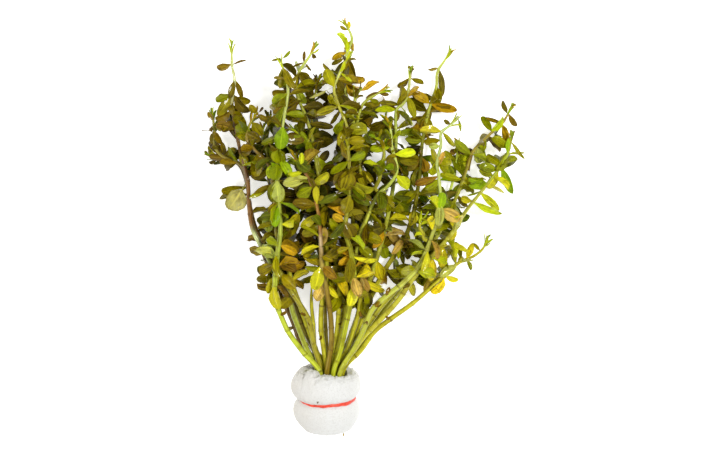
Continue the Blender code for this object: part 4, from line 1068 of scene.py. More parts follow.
# leaves in the depth between the stems: pixel of the middle, width in mm, tint if it stands out
deepLeaves = [
    (254.7, 249.9, 5, "tan"), (412.8, 142.1, 4.5, None), (224.1, 197.7, 4.5, "olive"),
    (432.5, 170.2, 4.5, "lime"), (496.4, 206.3, 4.5, "lime"), (447.7, 161.7, 4.5, "sage"),
    (425, 176, 4, None), (251, 239, 4.5, "dead"), (226.5, 191, 5.5, "olive"), (375.5, 148, 5, "lime"),
    (262, 279, 4.5, "olive"), (478.5, 158, 5.5, "pale"), (443, 169, 5, "sage"), (433, 162, 3, "moss"),
    (293.5, 106, 4.5, None), (374, 127.5, 5.5, None), (324, 98, 4.5, None), (468, 187, 5, "spring"),
    (310, 89, 4, None), (360, 79.5, 4.5, "amber"), (448, 155.5, 4, None), (404, 172.5, 4, None),
    (384, 281, 4.5, "amber"), (277, 111, 4, None), (273.6, 129.5, 4, "moss"), (427, 283, 3, "tan"),
    (256.5, 138, 4, None), (374, 104, 3.5, None), (411, 139.5, 4, None), (403, 259.5, 3, None),
    (425.5, 211, 4, None), (433, 153.5, 3, None), (329.3, 163, 3.5, None), (298.5, 248, 3.5, None),
    (464.5, 203.7, 3, None), (303, 260.5, 3, None), (412, 187.5, 3, None), (334.6, 119, 3, None),
    (424, 201, 5, None), (367.5, 118.6, 4.5, None), (491.5, 158, 4.5, "sage"), (251.5, 166, 4.5, "rust"),
    (402, 211, 4, None), (443.5, 263, 5, "sage"), (430.5, 186, 5, None), (299, 123.5, 5, None),
    (339.5, 89, 4.5, "umber"), (325, 155, 4.5, None), (384, 181.5, 3.5, None), (245.5, 101, 4, "olive"),
    (292, 193, 4, None), (311.5, 267.5, 3.5, None), (223, 147, 3, "umber"),
]

# leaves that lie over the stems: pixels of base and tip, width in mm, tint
topLeaves = [
    ((234, 134), (248, 131), 7, "moss"), ((247, 134), (260, 140), 6.5, "umber"),
    ((254, 146), (241, 150), 4.5, "rust"), ((350, 125), (358, 147), 8.5, "olive"),
    ((300, 181), (283, 184), 5.5, "pale"), ((311, 188), (297, 196), 6, "moss"),
    ((306, 232), (317, 219), 7, "olive"), ((364, 274), (358, 296), 4.5, "tan"),
    ((283, 149), (281, 163), 7, "moss"), ((279, 165), (275, 180), 7.5, "moss"),
    ((277, 183), (279, 203), 7.5, "moss"), ((351, 170), (343, 190), 9, "olive"),
    ((351, 195), (345, 213), 7, "olive"), ((347, 222), (353, 239), 7, "umber"),
    ((384, 158), (377, 174), 7, "moss"), ((390, 196), (384, 212), 6.5, "sage"),
    ((402, 237), (412, 252), 6, "tan"), ((254, 159), (255, 177), 6.5, "olive"),
    # the deep tint on these two is painted shade
    ((327, 196), (322, 212), 6.5, "deep"), ((300, 158), (309, 171), 6.5, "deep"),
    ((437, 203), (437, 226), 5.5, "pale"), ((457, 201), (449, 215), 5, "sage"),
]


def looseLeaf(planned, place, root, tip, width, tint, curl):
    height, seen, name, s = place
    along = planned[name].at(s)[1]
    reach = (tip - root).normalized()
    face = squared(Vector((0.1, 0.1, 1)), reach)
    leaf = newLeaf(root, reach, face, (tip - root).length, width * mm, curl, 1.0, tint, along)
    planned[name].joints.append({"at": s, "leaves": {0: leaf}, "loose": True})


under = {
    "steps": (3.2 * mm, 6.5 * mm), "tries": 6,
    "before": 6 * mm, "tipFree": 20 * mm,  # from before the first leaf to here before the tip
    "height": (2.0 * mm, 7.0 * mm),  # of their tips
    "long": (0.8, 1.15), "wide": (0.45, 0.65), "curl": (-0.2, 0.4),
    "crowd": (10.0, 3),  # pixels around a tip, and leaves that must be seen in them
    "middle": 0.6,  # where those leaves are counted, as a share of their length
    "spots": ((0.5, 0), (1.0, 0), (0.6, 0.8), (0.6, -0.8), (0.9, 0.6), (0.9, -0.6)),
}


def growUnder(planned):
    # old leaves in the shade below the stems, only where others already cover the table around
    middles = [seenAt(leaf["root"] + leaf["reach"] * leaf["length"] * under["middle"])
               for stem, joint, leaf in everyLeaf(planned)]
    radius, least = under["crowd"]
    for stem, chance in withChance(planned, seeds["under"]):
        s = stem.start - under["before"]
        while s < stem.length - under["tipFree"]:
            centre, along, side, half = stem.at(s)
            seen = seenAt(centre)
            place = (centre.z, seen, stem.name, s)
            s += chance.uniform(*under["steps"])
            if isBare(stem, seen[1]):
                continue
            for attempt in range(under["tries"]):
                angle = chance.uniform(0, 2 * pi)
                length = growth["long"] * chance.uniform(*under["long"])
                width = length * chance.uniform(*under["wide"])
                tip = centre + Vector((cos(angle), sin(angle), 0)) * length
                tip.z = min(chance.uniform(*under["height"]), centre.z)
                reach = (tip - centre).normalized()
                around = sum(1 for middle in middles if dist(middle, seenAt(tip)) < radius)
                across = Vector((-reach.y, reach.x, 0)) * width / 2
                spots = [centre.lerp(tip, t) + across * a for t, a in under["spots"]]
                if around >= least and not any(inOpening(spot, clearings) for spot in spots):
                    curl = chance.uniform(*under["curl"])
                    looseLeaf(planned, place, centre, tip, width / mm, None, curl)
                    break


deep = {
    "away": 11, "half": 5.5,  # pixels from the stem to a leaf's middle, and from there to its tip
    "from": 40 * mm, "drop": 2 * mm, "floor": 2 * mm, "curl": 0.1,
}


def growDeepLeaves(planned):
    places = stemPlaces(planned)
    for px, py, width, tint in deepLeaves:
        near = [(abs(hypot(x - px, y - py) - deep["away"]), (height, (x, y), name, s))
                for height, (x, y), name, s in places if s > deep["from"] and name in stems]
        place = min(near)[1]
        height, (x, y), name, s = place
        root = planned[name].at(s)[0]
        away = hypot(x - px, y - py)
        reach = (away + deep["half"]) / away
        tip = placed(x + (px - x) * reach, y + (py - y) * reach, max(root.z - deep["drop"], deep["floor"]))
        looseLeaf(planned, place, root, tip, width, tint, deep["curl"])


# pixels around a leaf's middle whose stems it lies over, how far its tip stands above them, curl,
# and how many pixels further a stem may be for each mm that it lies higher
topShape = {"near": 7, "lift": 1.5 * mm, "curl": 0.15, "higher": 0.1}


def growTopLeaves(planned):
    places = stemPlaces(planned)
    for base, tip, width, tint in topLeaves:
        place = min(places, key=lambda other: dist(other[1], base) - other[0] / mm * topShape["higher"])
        middle = ((base[0] + tip[0]) / 2, (base[1] + tip[1]) / 2)
        near = [height for height, seen, name, s in places if dist(seen, middle) < topShape["near"]]
        top = placed(*tip, max([place[0]] + near) + topShape["lift"])
        looseLeaf(planned, place, placed(*place[1], place[0]), top, width, tint, topShape["curl"])


def growScraps(planned):
    places = stemPlaces(planned)
    for pixel, length, degrees, tint in scraps:
        spots = [place for place in places if dist(place[1], pixel) < scrapShape["near"]]
        if not spots:
            continue
        height, seen, name, s = max(spots)
        centre, along, side, half = planned[name].at(s)
        angle = radians(degrees)
        reach = Vector((cos(angle), sin(angle), scrapShape["rise"])).normalized()
        face = squared(Vector(scrapShape["face"]), reach)
        leaf = newLeaf(centre + Vector((0, 0, 1)) * half, reach, face, length * mm,
                       length * scrapShape["wide"] * mm, scrapShape["curl"], 1.0, tint, along)
        planned[name].joints.append({"at": s, "leaves": {0: leaf}, "loose": True})


raised = {
    "reach": range(-12, 13, 2),  # mm along the stem, both ways from the joint
    "follows": 2.5,  # pixels between its middle and the stem that it lies along
    "rootLift": 0.2 * mm, "lift": 1 * mm, "most": 0.5,
    "near": 8, "shares": (0.5, 0.9),  # pixels around these places on the leaf
    "stalk": 0.28, "stalked": 10 * mm,  # stalked part of the large cream leaf
}


def raiseMarked(planned):
    # the leaves that stand out lie on top of the others around them, and of their stem if they follow it
    leaves = everyLeaf(planned)
    others = [leaf["root"] + leaf["reach"] * leaf["length"] * 0.5 for stem, joint, leaf in leaves
              if leaf["tint"] is None]
    others = [(middle.z, seenAt(middle)) for middle in others]
    radius = raised["near"]
    for stem, joint, leaf in leaves:
        if leaf["tint"] is None or "loose" in joint:
            continue
        tip = leaf["root"] + leaf["reach"] * leaf["length"]
        own = [stem.at(joint["at"] + d * mm) for d in raised["reach"]]
        tops = [(centre.z + half, seenAt(centre)) for centre, along, side, half in own]
        middle = seenAt(leaf["root"].lerp(tip, 0.5))
        if min(dist(seen, middle) for height, seen in tops) < raised["follows"]:
            leaf["root"] = placed(*seenAt(leaf["root"]), tops[len(tops) // 2][0] + raised["rootLift"])
        else:
            tops = []
        lift = 0.0
        for share in raised["shares"]:
            spot = leaf["root"].lerp(tip, share)
            near = [height for height, seen in others + tops if dist(seen, seenAt(spot)) < radius]
            lift = max(lift, (max(near, default=0.0) + raised["lift"] - spot.z) / share)
        tip = placed(*seenAt(tip), tip.z + min(lift, raised["most"] * leaf["length"]))
        stalked = leaf["tint"] == "cream" and leaf["length"] > raised["stalked"]
        leaf["stalk"] = raised["stalk"] if stalked else 0.0
        leaf["length"] = (tip - leaf["root"]).length
        leaf["reach"] = (tip - leaf["root"]).normalized()
        leaf["face"] = squared(leaf["face"], leaf["reach"])


# leaves that lie this much higher and this near above shade a leaf, more with each
shade = {"higher": 2.5 * mm, "near": 5.5 * mm, "light": (1.1, 0.88, 0.7, 0.54, 0.42)}


def shadeInner(planned):
    # painted shade: leaves under others get a darker tint, more with each leaf above
    leaves = [leaf for stem, joint, leaf in everyLeaf(planned)]
    middles = [leaf["root"] + leaf["reach"] * leaf["length"] / 2 for leaf in leaves]
    for leaf, middle in zip(leaves, middles):
        above = sum(1 for other in middles if other.z > middle.z + shade["higher"]
                    and (other.xy - middle.xy).length < shade["near"])
        leaf["depth"] = shade["light"][min(above, len(shade["light"]) - 1)]


planned = planStems()
growSolidLeaves(planned)
print("leaves like the solids':", len(everyLeaf(planned)))
for step in (growFilling, growCover, growBuds, growUnder, growDeepLeaves, growTopLeaves, growScraps,
             raiseMarked, shadeInner):
    step(planned)
print("leaves in all:", len(everyLeaf(planned)))


# colours of leaves and stems

# deep is painted shade: a darker green for leaves in the middle of the heap, where shade falls
leafTints = {
    "umber": "#625403", "olive": "#7E7303", "rust": "#7A6507", "sage": "#8E8C04", "moss": "#7C8404",
    "bright": "#7A9608", "lime": "#AEB814", "spring": "#C0B81C", "yellow": "#D2C01A", "orange": "#C49C1A",
    "amber": "#AE8E12", "tan": "#928028", "dead": "#846618", "pink": "#C4A44C", "brown": "#6A5010",
    "cream": "#A6A45C", "pale": "#A6AC4C", "deep": "#525A06",
}

# which tints grow where: pixel, and how often each tint comes there; deep is painted shade and comes most in
# the middle of the heap
leafZones = [
    ((232, 90), {"umber": 4, "rust": 4, "brown": 1.5, "olive": 2}),
    ((225, 142), {"umber": 4, "rust": 2, "olive": 3, "brown": 1}),
    ((258, 120), {"umber": 4, "olive": 2, "moss": 2, "rust": 1, "deep": 2}),
    ((288, 88), {"umber": 3, "olive": 3, "moss": 2, "rust": 1}),
    ((280, 150), {"moss": 4, "bright": 1.5, "olive": 1, "umber": 2, "deep": 2}),
    ((322, 78), {"umber": 3, "olive": 3, "rust": 2, "sage": 1.5}),
    ((322, 130), {"olive": 3, "umber": 4, "sage": 1, "deep": 3}),
    ((268, 230), {"moss": 4, "pale": 1.5, "olive": 2, "bright": 1}),
    ((318, 200), {"olive": 3, "sage": 1, "umber": 4, "spring": 0.4, "moss": 1,
        "deep": 5}),
    ((300, 235), {"olive": 3, "umber": 2, "moss": 1, "deep": 4}),
    ((305, 268), {"olive": 2.5, "yellow": 0.5, "amber": 0.8, "dead": 0.6, "spring": 1,
        "sage": 3}),
    ((358, 115), {"olive": 3, "sage": 2, "umber": 3, "rust": 1, "lime": 0.7}),
    ((358, 190), {"olive": 3, "spring": 0.5, "umber": 3, "amber": 0.6, "sage": 1,
        "deep": 3}),
    ((362, 255), {"yellow": 0.8, "spring": 2, "amber": 1, "olive": 2, "sage": 2.5}),
    ((425, 95), {"olive": 2, "rust": 1.5, "sage": 3, "amber": 2.5}),
    ((392, 140), {"bright": 2, "moss": 2, "lime": 2, "sage": 1, "olive": 1}),
    ((418, 158), {"lime": 1.5, "sage": 2.5, "amber": 1.5, "olive": 0.8, "moss": 1}),
    ((450, 175), {"lime": 3, "bright": 2, "moss": 2, "pale": 1, "sage": 1}),
    ((420, 230), {"spring": 3, "lime": 3, "sage": 2, "pink": 0.5, "pale": 1}),
    ((490, 135), {"olive": 1, "sage": 2, "lime": 2, "rust": 1, "pale": 1, "moss": 1}),
    ((490, 188), {"bright": 3, "lime": 3, "spring": 1}),
    ((450, 258), {"spring": 3, "sage": 2, "lime": 1, "yellow": 1}),
]

# single leaves that catch the eye: pixel, tint
leafHints = [
    (280, 156, "moss"), (265, 250, "pale"), (276, 173, "lime"), (322, 168, "lime"), (295, 222, "spring"),
    (309, 246, "spring"), (294, 247, "amber"), (293, 266, "amber"), (282, 294, "dead"), (318, 293, "pink"),
    (323, 236, "pink"), (348, 258, "orange"), (341, 211, "orange"), (361, 283, "pink"), (357, 312, "dead"),
    (379, 271, "yellow"), (380, 238, "yellow"), (382, 249, "bright"), (397, 240, "pink"), (411, 244, "tan"),
    (410, 220, "spring"), (366, 175, "yellow"), (422, 164, "amber"), (424, 180, "orange"),
    (457, 161, "moss"), (494, 183, "spring"), (500, 162, "moss"), (487, 168, "moss"), (506, 137, "rust"),
    (470, 252, "spring"), (448, 268, "lime"), (335, 58, "sage"), (403, 86, "rust"), (246, 134, "moss"),
    (259, 171, "olive"), (396, 113, "olive"),
]

# colours along the stems: pixel row and colour, from the foam up
stemTints = {
    "usual": [(375, "#B0AC22"), (300, "#B6B02A"), (200, "#95901E"), (110, "#A3A83C"), (50, "#B9C460")],
    "stem_01": [(375, "#B2BC30"), (300, "#A9B534"), (225, "#A2AE40"), (100, "#AEB662"), (60, "#BCC870")],
    "stem_02": [(375, "#8A7418"), (320, "#7E681E"), (300, "#8C7424"), (262, "#A08C3C"), (240, "#C4AC82"),
                (228, "#94682C"), (150, "#845C28")],
    "stem_03": [(375, "#A4AB1C"), (300, "#A6AB26"), (230, "#86841C"), (100, "#A09C34"), (60, "#C0C868")],
    "stem_04": [(375, "#B9BE38"), (250, "#AEB248"), (200, "#B2BC60"), (130, "#B6C474")],
    "stem_05": [(375, "#9C9426"), (282, "#938C2C"), (150, "#846C28"), (112, "#A0983A")],
    "stem_07": [(375, "#B0AC22"), (230, "#A8AA34"), (180, "#A8B448"), (150, "#B4C05C"), (100, "#B8C664")],
    "stem_08": [(375, "#BCB630"), (250, "#BCB83C"), (200, "#BABC46"), (160, "#A4B032")],
    "stem_17": [(375, "#B0AC22"), (230, "#A8AA34"), (170, "#A4B048"), (120, "#A8B44C"), (90, "#B4B85C")],
    "stem_18": [(375, "#B8B430"), (200, "#ACAE3C"), (150, "#9C8C34"), (118, "#A08A38")],
    "stem_22": [(375, "#B8B430"), (230, "#B0B244"), (190, "#B0BC50"), (150, "#96A030")],
    "stem_09": [(375, "#A5AB38"), (262, "#87903A"), (235, "#AEB67C"), (222, "#745026"), (160, "#6A4A26"),
                (120, "#644A22"), (78, "#C2C88E"), (40, "#B6C254")],
    "stem_14": [(375, "#8A8422"), (300, "#80702C"), (200, "#745622"), (108, "#8A8A30")],
    "stem_15": [(375, "#8E8020"), (200, "#7E7420"), (72, "#A4A438")],
    "stem_19": [(375, "#6C4E26"), (300, "#6E5428"), (180, "#5A4220"), (149, "#7A6A26")],
    "stem_20": [(375, "#857622"), (200, "#7C6E20"), (90, "#8E8C30")],
}


def stemTint(name, row):
    stops = stemTints.get(name, stemTints["usual"])
    for (lower, a), (upper, b) in zip(stops, stops[1:]):
        if row >= upper:
            t = smooth((lower - row) / (lower - upper))
            return [mix(p, q, t) for p, q in zip(colour(a), colour(b))]
    return colour(stops[-1][1])


tinting = {
    "near": 6.5,  # pixels to a single leaf's colour
    "zone": 22.0,  # width of a zone in pixels
    "least": 1e-6,
    "young": 0.3, "youngLime": 0.15,  # age up to which lime is more frequent, and by how much
    "light": (0.75, 1.25), "markedLight": (0.92, 1.08), "warm": (0.93, 1.08),
    "dead": ("dead", "pink", "tan", "amber"),
    "fresh": ("lime", "bright", "moss", "pale", "spring", "sage"),
}


def leafTint(leaf, chance):
    # the tint of a hint that is near, or one of the zone's, a little lighter or darker each time, and darker
    # with painted shade where other leaves lie above
    name = leaf["tint"]
    px, py = seenAt(leaf["root"] + leaf["reach"] * leaf["length"] * 0.5)
    if name is None:
        for hx, hy, tint in leafHints:
            if hypot(px - hx, py - hy) < tinting["near"]:
                name = tint
    if name is None:
        weights = {}
        for (zx, zy), tints in leafZones:
            near = exp(-((px - zx) ** 2 + (py - zy) ** 2) / (2 * tinting["zone"] ** 2))
            for tint, share in tints.items():
                weights[tint] = weights.get(tint, tinting["least"]) + share * near
        if leaf["age"] < tinting["young"]:
            weights["lime"] = weights.get("lime", 0) + tinting["youngLime"] * sum(weights.values())
        name = chance.choices(list(weights), list(weights.values()))[0]
    if leaf["tint"] is None:
        # the depth factor is painted shade: darker under other leaves
        light = chance.uniform(*tinting["light"]) * leaf["depth"]
    else:
        light = chance.uniform(*tinting["markedLight"])
    warm = chance.uniform(*tinting["warm"])
    r, g, b = colour(leafTints[name])
    return (r * light * warm, g * light, b * light / warm), name


# one leaf, modelled once and bent into every place

blankShape = {
    "across": 4, "along": 6,
    "rows": [0.0, 0.11, 0.27, 0.46, 0.68, 0.88, 1.0],  # places along the leaf
    "widths": [0.13, 0.38, 0.78, 1.0, 0.97, 0.70, 0.27],  # of each row
    "round": 0.03,  # how far the middle of the tip stands out
    "shell": 0.05,
}


def makeLeafBlank():
    # a flat grid shaped row by row into a leaf's outline, then given a thickness
    shape = blankShape
    bpy.ops.mesh.primitive_grid_add(x_subdivisions=shape["across"], y_subdivisions=shape["along"], size=1,
                                    location=(0, 0.5, 0))
    blank = bpy.context.active_object
    blank.name = "leafBlank"
    bpy.ops.object.transform_apply(location=True, rotation=True, scale=True)
    bpy.ops.object.mode_set(mode="EDIT")
    for i, (row, width) in enumerate(zip(shape["rows"], shape["widths"])):
        old = i / shape["along"]
        data = bmesh.from_edit_mesh(blank.data)
        if i == 0:
            rows = [[v.index for v in data.verts if abs(v.co.y - j / shape["along"]) < 0.01]
                    for j in range(shape["along"] + 1)]
        data.verts.ensure_lookup_table()
        bpy.ops.mesh.select_all(action="DESELECT")
        for v in rows[i]:
            data.verts[v].select = True
        data.select_flush(True)
        bmesh.update_edit_mesh(blank.data)
        bpy.ops.transform.resize(value=(width, 1, 1), center_override=(0, old, 0))
        bpy.ops.transform.translate(value=(0, row - old, 0))
    data = bmesh.from_edit_mesh(blank.data)
    data.verts.ensure_lookup_table()
    bpy.ops.mesh.select_all(action="DESELECT")
    for v in rows[-1]:
        data.verts[v].select = abs(data.verts[v].co.x) < 0.06
    bmesh.update_edit_mesh(blank.data)
    bpy.ops.transform.translate(value=(0, shape["round"], 0))
    bpy.ops.object.mode_set(mode="OBJECT")
    applied(blank, "SOLIDIFY", thickness=shape["shell"], offset=-1.0)
    mergedAndOutward(blank)
    blank.data.name = "leafBlank"
    return blank


leafBlank = makeLeafBlank()
blankPoints = [v.co.copy() for v in leafBlank.data.vertices]
blankFaces = [tuple(p.vertices) for p in leafBlank.data.polygons]
blankMap = {}
for loop, flat in zip(leafBlank.data.loops, leafBlank.data.uv_layers[0].data):
    blankMap[loop.vertex_index] = tuple(flat.uv)
bpy.data.objects.remove(leafBlank, do_unlink=True)
print("leaf blank:", len(blankFaces), "faces")


bending = {
    # ranges of the draws, and what a wilted leaf has on top
    "cup": (-0.3, 0.5), "fold": (0.05, 0.15, 0.3, 0.5, 0.8), "wave": (0.0, 0.12), "twist": (-0.5, 0.5),
    "sickle": (-0.12, 0.12), "slim": (0.78, 1.0), "hook": (-0.1, 0.35), "spoon": (-0.12, 0.2),
    "wilted": (0.2, 0.9), "wiltedFold": 0.3, "wiltedWave": 0.12, "wiltedTwist": 1.6,
    "steps": 20, "waves": 11, "pastTip": 1.03,
    "stalkWide": (0.12, 1.1), "stalkRun": 0.22,
    "rimThin": 0.55, "floor": 0.08,
}


def bentLeaf(leaf, chance, wilt):
    # the blank's points along a curved midrib, cupped, waved and twisted
    reach, face, length = leaf["reach"], leaf["face"], leaf["length"]
    across = face.cross(reach).normalized()
    cup = chance.uniform(*bending["cup"]) + wilt * chance.uniform(*bending["wilted"])
    fold = chance.choice(bending["fold"]) + wilt * bending["wiltedFold"]
    wave = chance.uniform(*bending["wave"]) + wilt * bending["wiltedWave"]
    phase = chance.uniform(0, 6.28)
    twist = chance.uniform(*bending["twist"]) * (1 + bending["wiltedTwist"] * wilt)
    sickle, slim = chance.uniform(*bending["sickle"]), chance.uniform(*bending["slim"])
    slimSide = chance.choice((-1, 1))
    hook = chance.uniform(*bending["hook"]) + wilt * chance.uniform(*bending["wilted"])
    spoon = chance.uniform(*bending["spoon"])
    steps, spine, point = bending["steps"], [], leaf["root"].copy()
    for i in range(steps + 1):
        t = i / steps
        turn = Quaternion(across, leaf["curl"] * t + hook * t ** 3)
        spine.append((point.copy(), turn @ reach, turn @ face))
        middle = Quaternion(across, leaf["curl"] * (t + 0.5 / steps) + hook * (t + 0.5 / steps) ** 3)
        point = point + (middle @ reach) * length / steps
    points = []
    for p in blankPoints:
        t = min(max(p.y, 0.0), bending["pastTip"])
        i = min(int(t * steps), steps - 1)
        centre = spine[i][0] + spine[i][1] * length * (t - i / steps)
        turn = Quaternion(spine[i][1], twist * t)
        side, up = turn @ across, turn @ spine[i][2]
        x = -p.x * leaf["width"] * (1 + spoon * (t - 0.5) * 2 * (1 - t))
        x *= slim if p.x * slimSide > 0 else 1.0
        if leaf.get("stalk"):
            x *= mix(*bending["stalkWide"], smooth((t - leaf["stalk"]) / bending["stalkRun"]))
        x += sickle * length * t * (1 - t)
        far = min(abs(p.x) * 2, 1.0)
        lift = leaf["width"] * (fold * far * 0.5 + cup * far * far * 0.25
                                + wave * sin(phase + bending["waves"] * t) * far * far)
        thick = growth["thick"] * (1 - bending["rimThin"] * far * far)
        lower = thick if isUnder(p) else 0.0
        spot = centre + side * x + up * (lift - lower)
        floor = (bending["floor"] if lower else bending["floor"] + thick / mm) * mm
        points.append(Vector((spot.x, spot.y, max(spot.z, floor))))
    return points


def isUnder(p):
    # whether a point of the blank is on its under side
    return p.z < -0.5 * blankShape["shell"]


# spread of how leaves really lie, for those that stand out and for the others: tip up or down, roll
settling = {"tip": (0.05, 0.16), "roll": (0.25, 0.55), "young": 0.3, "upright": 0.4, "wide": (0.96, 0.66)}


def settled(leaf, chance):
    # the leaf as it really lies: rolled and tipped a little, and narrow and upright by the tip
    leaf = dict(leaf)
    young = smooth(1 - leaf["age"] / settling["young"])
    isMarked = leaf["tint"] is not None
    tipped, rolled = [settling[name][0 if isMarked else 1] for name in ("tip", "roll")]
    reach = leaf["reach"].lerp(leaf["along"], 0.0 if isMarked else settling["upright"] * young).normalized()
    across = leaf["face"].cross(reach).normalized()
    reach = Quaternion(across, chance.gauss(0, tipped)) @ reach
    leaf["face"] = Quaternion(reach, chance.gauss(0, rolled)) @ squared(leaf["face"], reach)
    leaf["reach"] = reach
    leaf["width"] *= 1.0 if isMarked else mix(*settling["wide"], young)
    return leaf


aging = {"deadWilt": (0.3, 1.0), "wilt": (-0.5, 0.4), "freshWorn": (0.0, 0.3), "worn": (0.1, 0.7)}


def leavesOf(stem, finishTree):
    # all leaves of a stem as one mesh, each a closed shell
    chance = random.Random("leaves of " + stem.name)
    points, faces, flat, tints, marks = [], [], [], [], []
    low, high = cadBox[0], cadBox[1]
    for joint in stem.joints:
        for leaf in joint["leaves"].values():
            tint, name = leafTint(leaf, chance)
            if name in tinting["dead"]:
                wilt = chance.uniform(*aging["deadWilt"])
            else:
                wilt = max(0.0, chance.uniform(*aging["wilt"]))
            bent = bentLeaf(settled(leaf, chance), chance, wilt)
            start = len(points)
            worn = chance.uniform(*aging["freshWorn" if name in tinting["fresh"] else "worn"])
            roll = chance.random()
            points += [Vector(min(max(p[i], low[i]), high[i]) for i in range(3)) for p in bent]
            faces += [tuple(start + v for v in face) for face in blankFaces]
            tints += [(*tint, 1.0)] * len(bent)
            marks += [(1.0 if isUnder(p) else 0.0, worn, roll, 1.0) for p in blankPoints]
            flat += [blankMap[i] for i in range(len(blankPoints))]
    return paintedMesh(stem.name + "_leaves", points, faces, flat, tints, marks, finishTree)


def paintedMesh(name, points, faces, flat, tints, marks, finish):
    data = bpy.data.meshes.new(name)
    data.from_pydata(points, [], faces)
    piece = bpy.data.objects.new(name, data)
    bpy.context.collection.objects.link(piece)
    data.materials.append(finish)
    layer = data.uv_layers.new(name="plantMap")
    for loop in data.loops:
        layer.data[loop.index].uv = flat[loop.vertex_index]
    paintPoints(data, tints, marks)
    return piece


def paintPoints(data, tints, marks):
    for name, values in (("leafTint", tints), ("leafMarks", marks)):
        layer = data.attributes.new(name, "FLOAT_COLOR", "POINT")
        layer.data.foreach_set("color", [part for value in values for part in value])


# stalks: a bevelled curve along each route, swollen at its joints

stalkShape = {
    "ring": 1.5, "least": 0.12 * mm, "capEdge": 0.4 * mm,  # gaps between rings, the first in mm
    "scarRings": (-1.0, -0.5, -0.15, 0.15, 0.6, 1.2),  # mm from a joint
    "firstScar": (0.8, 1.1), "nextScar": (0.85, 1.25), "scarsFrom": 28 * mm,
    "swellLong": 0.75 * mm,
    # how much thinner a stem gets, from where and over what length
    "slim": (0.88, 70 * mm, 50 * mm), "slimTip": (0.5, 11 * mm, 10 * mm), "end": 0.5,
    # paintedLightAbove: painted light and shade, a stem's skin lighter on its upper side and darker below
    "light": (0.88, 1.1), "paintedLightAbove": (0.7, 1.1),
    "scarStrong": (0.35, 0.95), "scarBend": 0.3 * mm, "scarLong": 0.4 * mm,
    "uneven": (0.6, 0.4),  # share of a scar all round, and on one side only
}


def makeStalk(stem, finish):
    shape = stalkShape
    chance = random.Random("stalk of " + stem.name)
    scars = [joint["at"] for joint in stem.joints if "loose" not in joint]
    s = min(scars) - stalks["barePiece"] * chance.uniform(*shape["firstScar"])
    while s > shape["scarsFrom"] and stem.name in stems:
        scars.append(s)
        s -= stalks["barePiece"] * chance.uniform(*shape["nextScar"])
    rings = [i * shape["ring"] * mm for i in range(int(stem.length / (shape["ring"] * mm)))]
    rings += [stem.length - shape["capEdge"], stem.length]
    for scar in scars:
        rings += [scar + d * mm for d in shape["scarRings"] if 0 < scar + d * mm < stem.length]
    rings = sorted(rings)
    rings = [a for a, b in zip(rings, rings[1:] + [9.0]) if b - a > shape["least"]]
    curve = bpy.data.curves.new(stem.name + "_stalk", "CURVE")
    curve.dimensions, curve.twist_mode = "3D", "MINIMUM"
    curve.bevel_depth, curve.bevel_resolution, curve.use_fill_caps = 1 * mm, stalks["sides"], True
    spline = curve.splines.new("POLY")
    spline.points.add(len(rings) - 1)
    for ring in rings:
        chance.random()  # one draw a ring, so that the later ones stay as they are
    for i, s in enumerate(rings):
        centre, along, side, half = stem.at(s)
        near = min(abs(s - scar) for scar in scars)
        swell = 1 + stalks["swelling"] * exp(-(near / shape["swellLong"]) ** 2)
        thin, start, run = shape["slim"]
        tip = mix(1.0, thin, smooth((s - start) / run))
        thin, start, run = shape["slimTip"]
        tip *= mix(1.0, thin, smooth((s - stem.length + start) / run))
        tip *= shape["end"] if s > stem.length - 0.1 * mm else 1.0
        spline.points[i].co = (*centre, 1.0)
        spline.points[i].radius = half / mm * stalks["roundness"] * swell * tip
    piece = bpy.data.objects.new(stem.name + "_stalk", curve)
    bpy.context.collection.objects.link(piece)
    only(piece)
    bpy.ops.object.convert(target="MESH")
    piece = bpy.context.active_object
    mergedAndOutward(piece)
    data = piece.data
    data.uv_layers[0].name = "plantMap"
    data.materials.clear()
    data.materials.append(finish)
    tree = KDTree(len(rings))
    for i, s in enumerate(rings):
        tree.insert(stem.at(s)[0], i)
    tree.balance()
    light = chance.uniform(*shape["light"])
    roll = chance.random()
    depth = {scar: (chance.uniform(*shape["scarStrong"]), chance.uniform(0, 6.28)) for scar in scars}
    ringTints = [[part * light for part in stemTint(stem.name, seenAt(stem.at(s)[0])[1])] for s in rings]
    tints, spots = [], []
    for vertex in data.vertices:
        i = tree.find(vertex.co)[1]
        centre, along, side, half = stem.at(rings[i])
        away = vertex.co - centre
        # painted light and shade: lighter where the skin faces up, darker where it faces down
        pale = mix(*shape["paintedLightAbove"], smooth(0.5 + 0.5 * away.normalized().z))
        tints.append((*[part * pale for part in ringTints[i]], 1.0))
        scar = min(scars, key=lambda other: abs(rings[i] - other))
        strength, phase = depth[scar]
        angle = atan2(away.dot(along.cross(side)), away.dot(side))
        near = rings[i] - scar - shape["scarBend"] * sin(angle + phase)
        old = smooth(stem.age(rings[i]))
        strength *= shape["uneven"][0] + shape["uneven"][1] * cos(angle - phase)
        spots.append((old * strength * exp(-(near / shape["scarLong"]) ** 2), old, roll, 1.0))
    paintPoints(data, tints, spots)
    return piece


# old bare shoots, fused with the stem they come from: pixels from the fork on, thickness in mm,
# how far below the fork they lie in mm, places of their scars as shares of the length
oldShoots = {"stem_05": ([(317, 347), (313.5, 326), (311.5, 305), (311.5, 282)], 1.7, 3, (0.35, 0.8))}


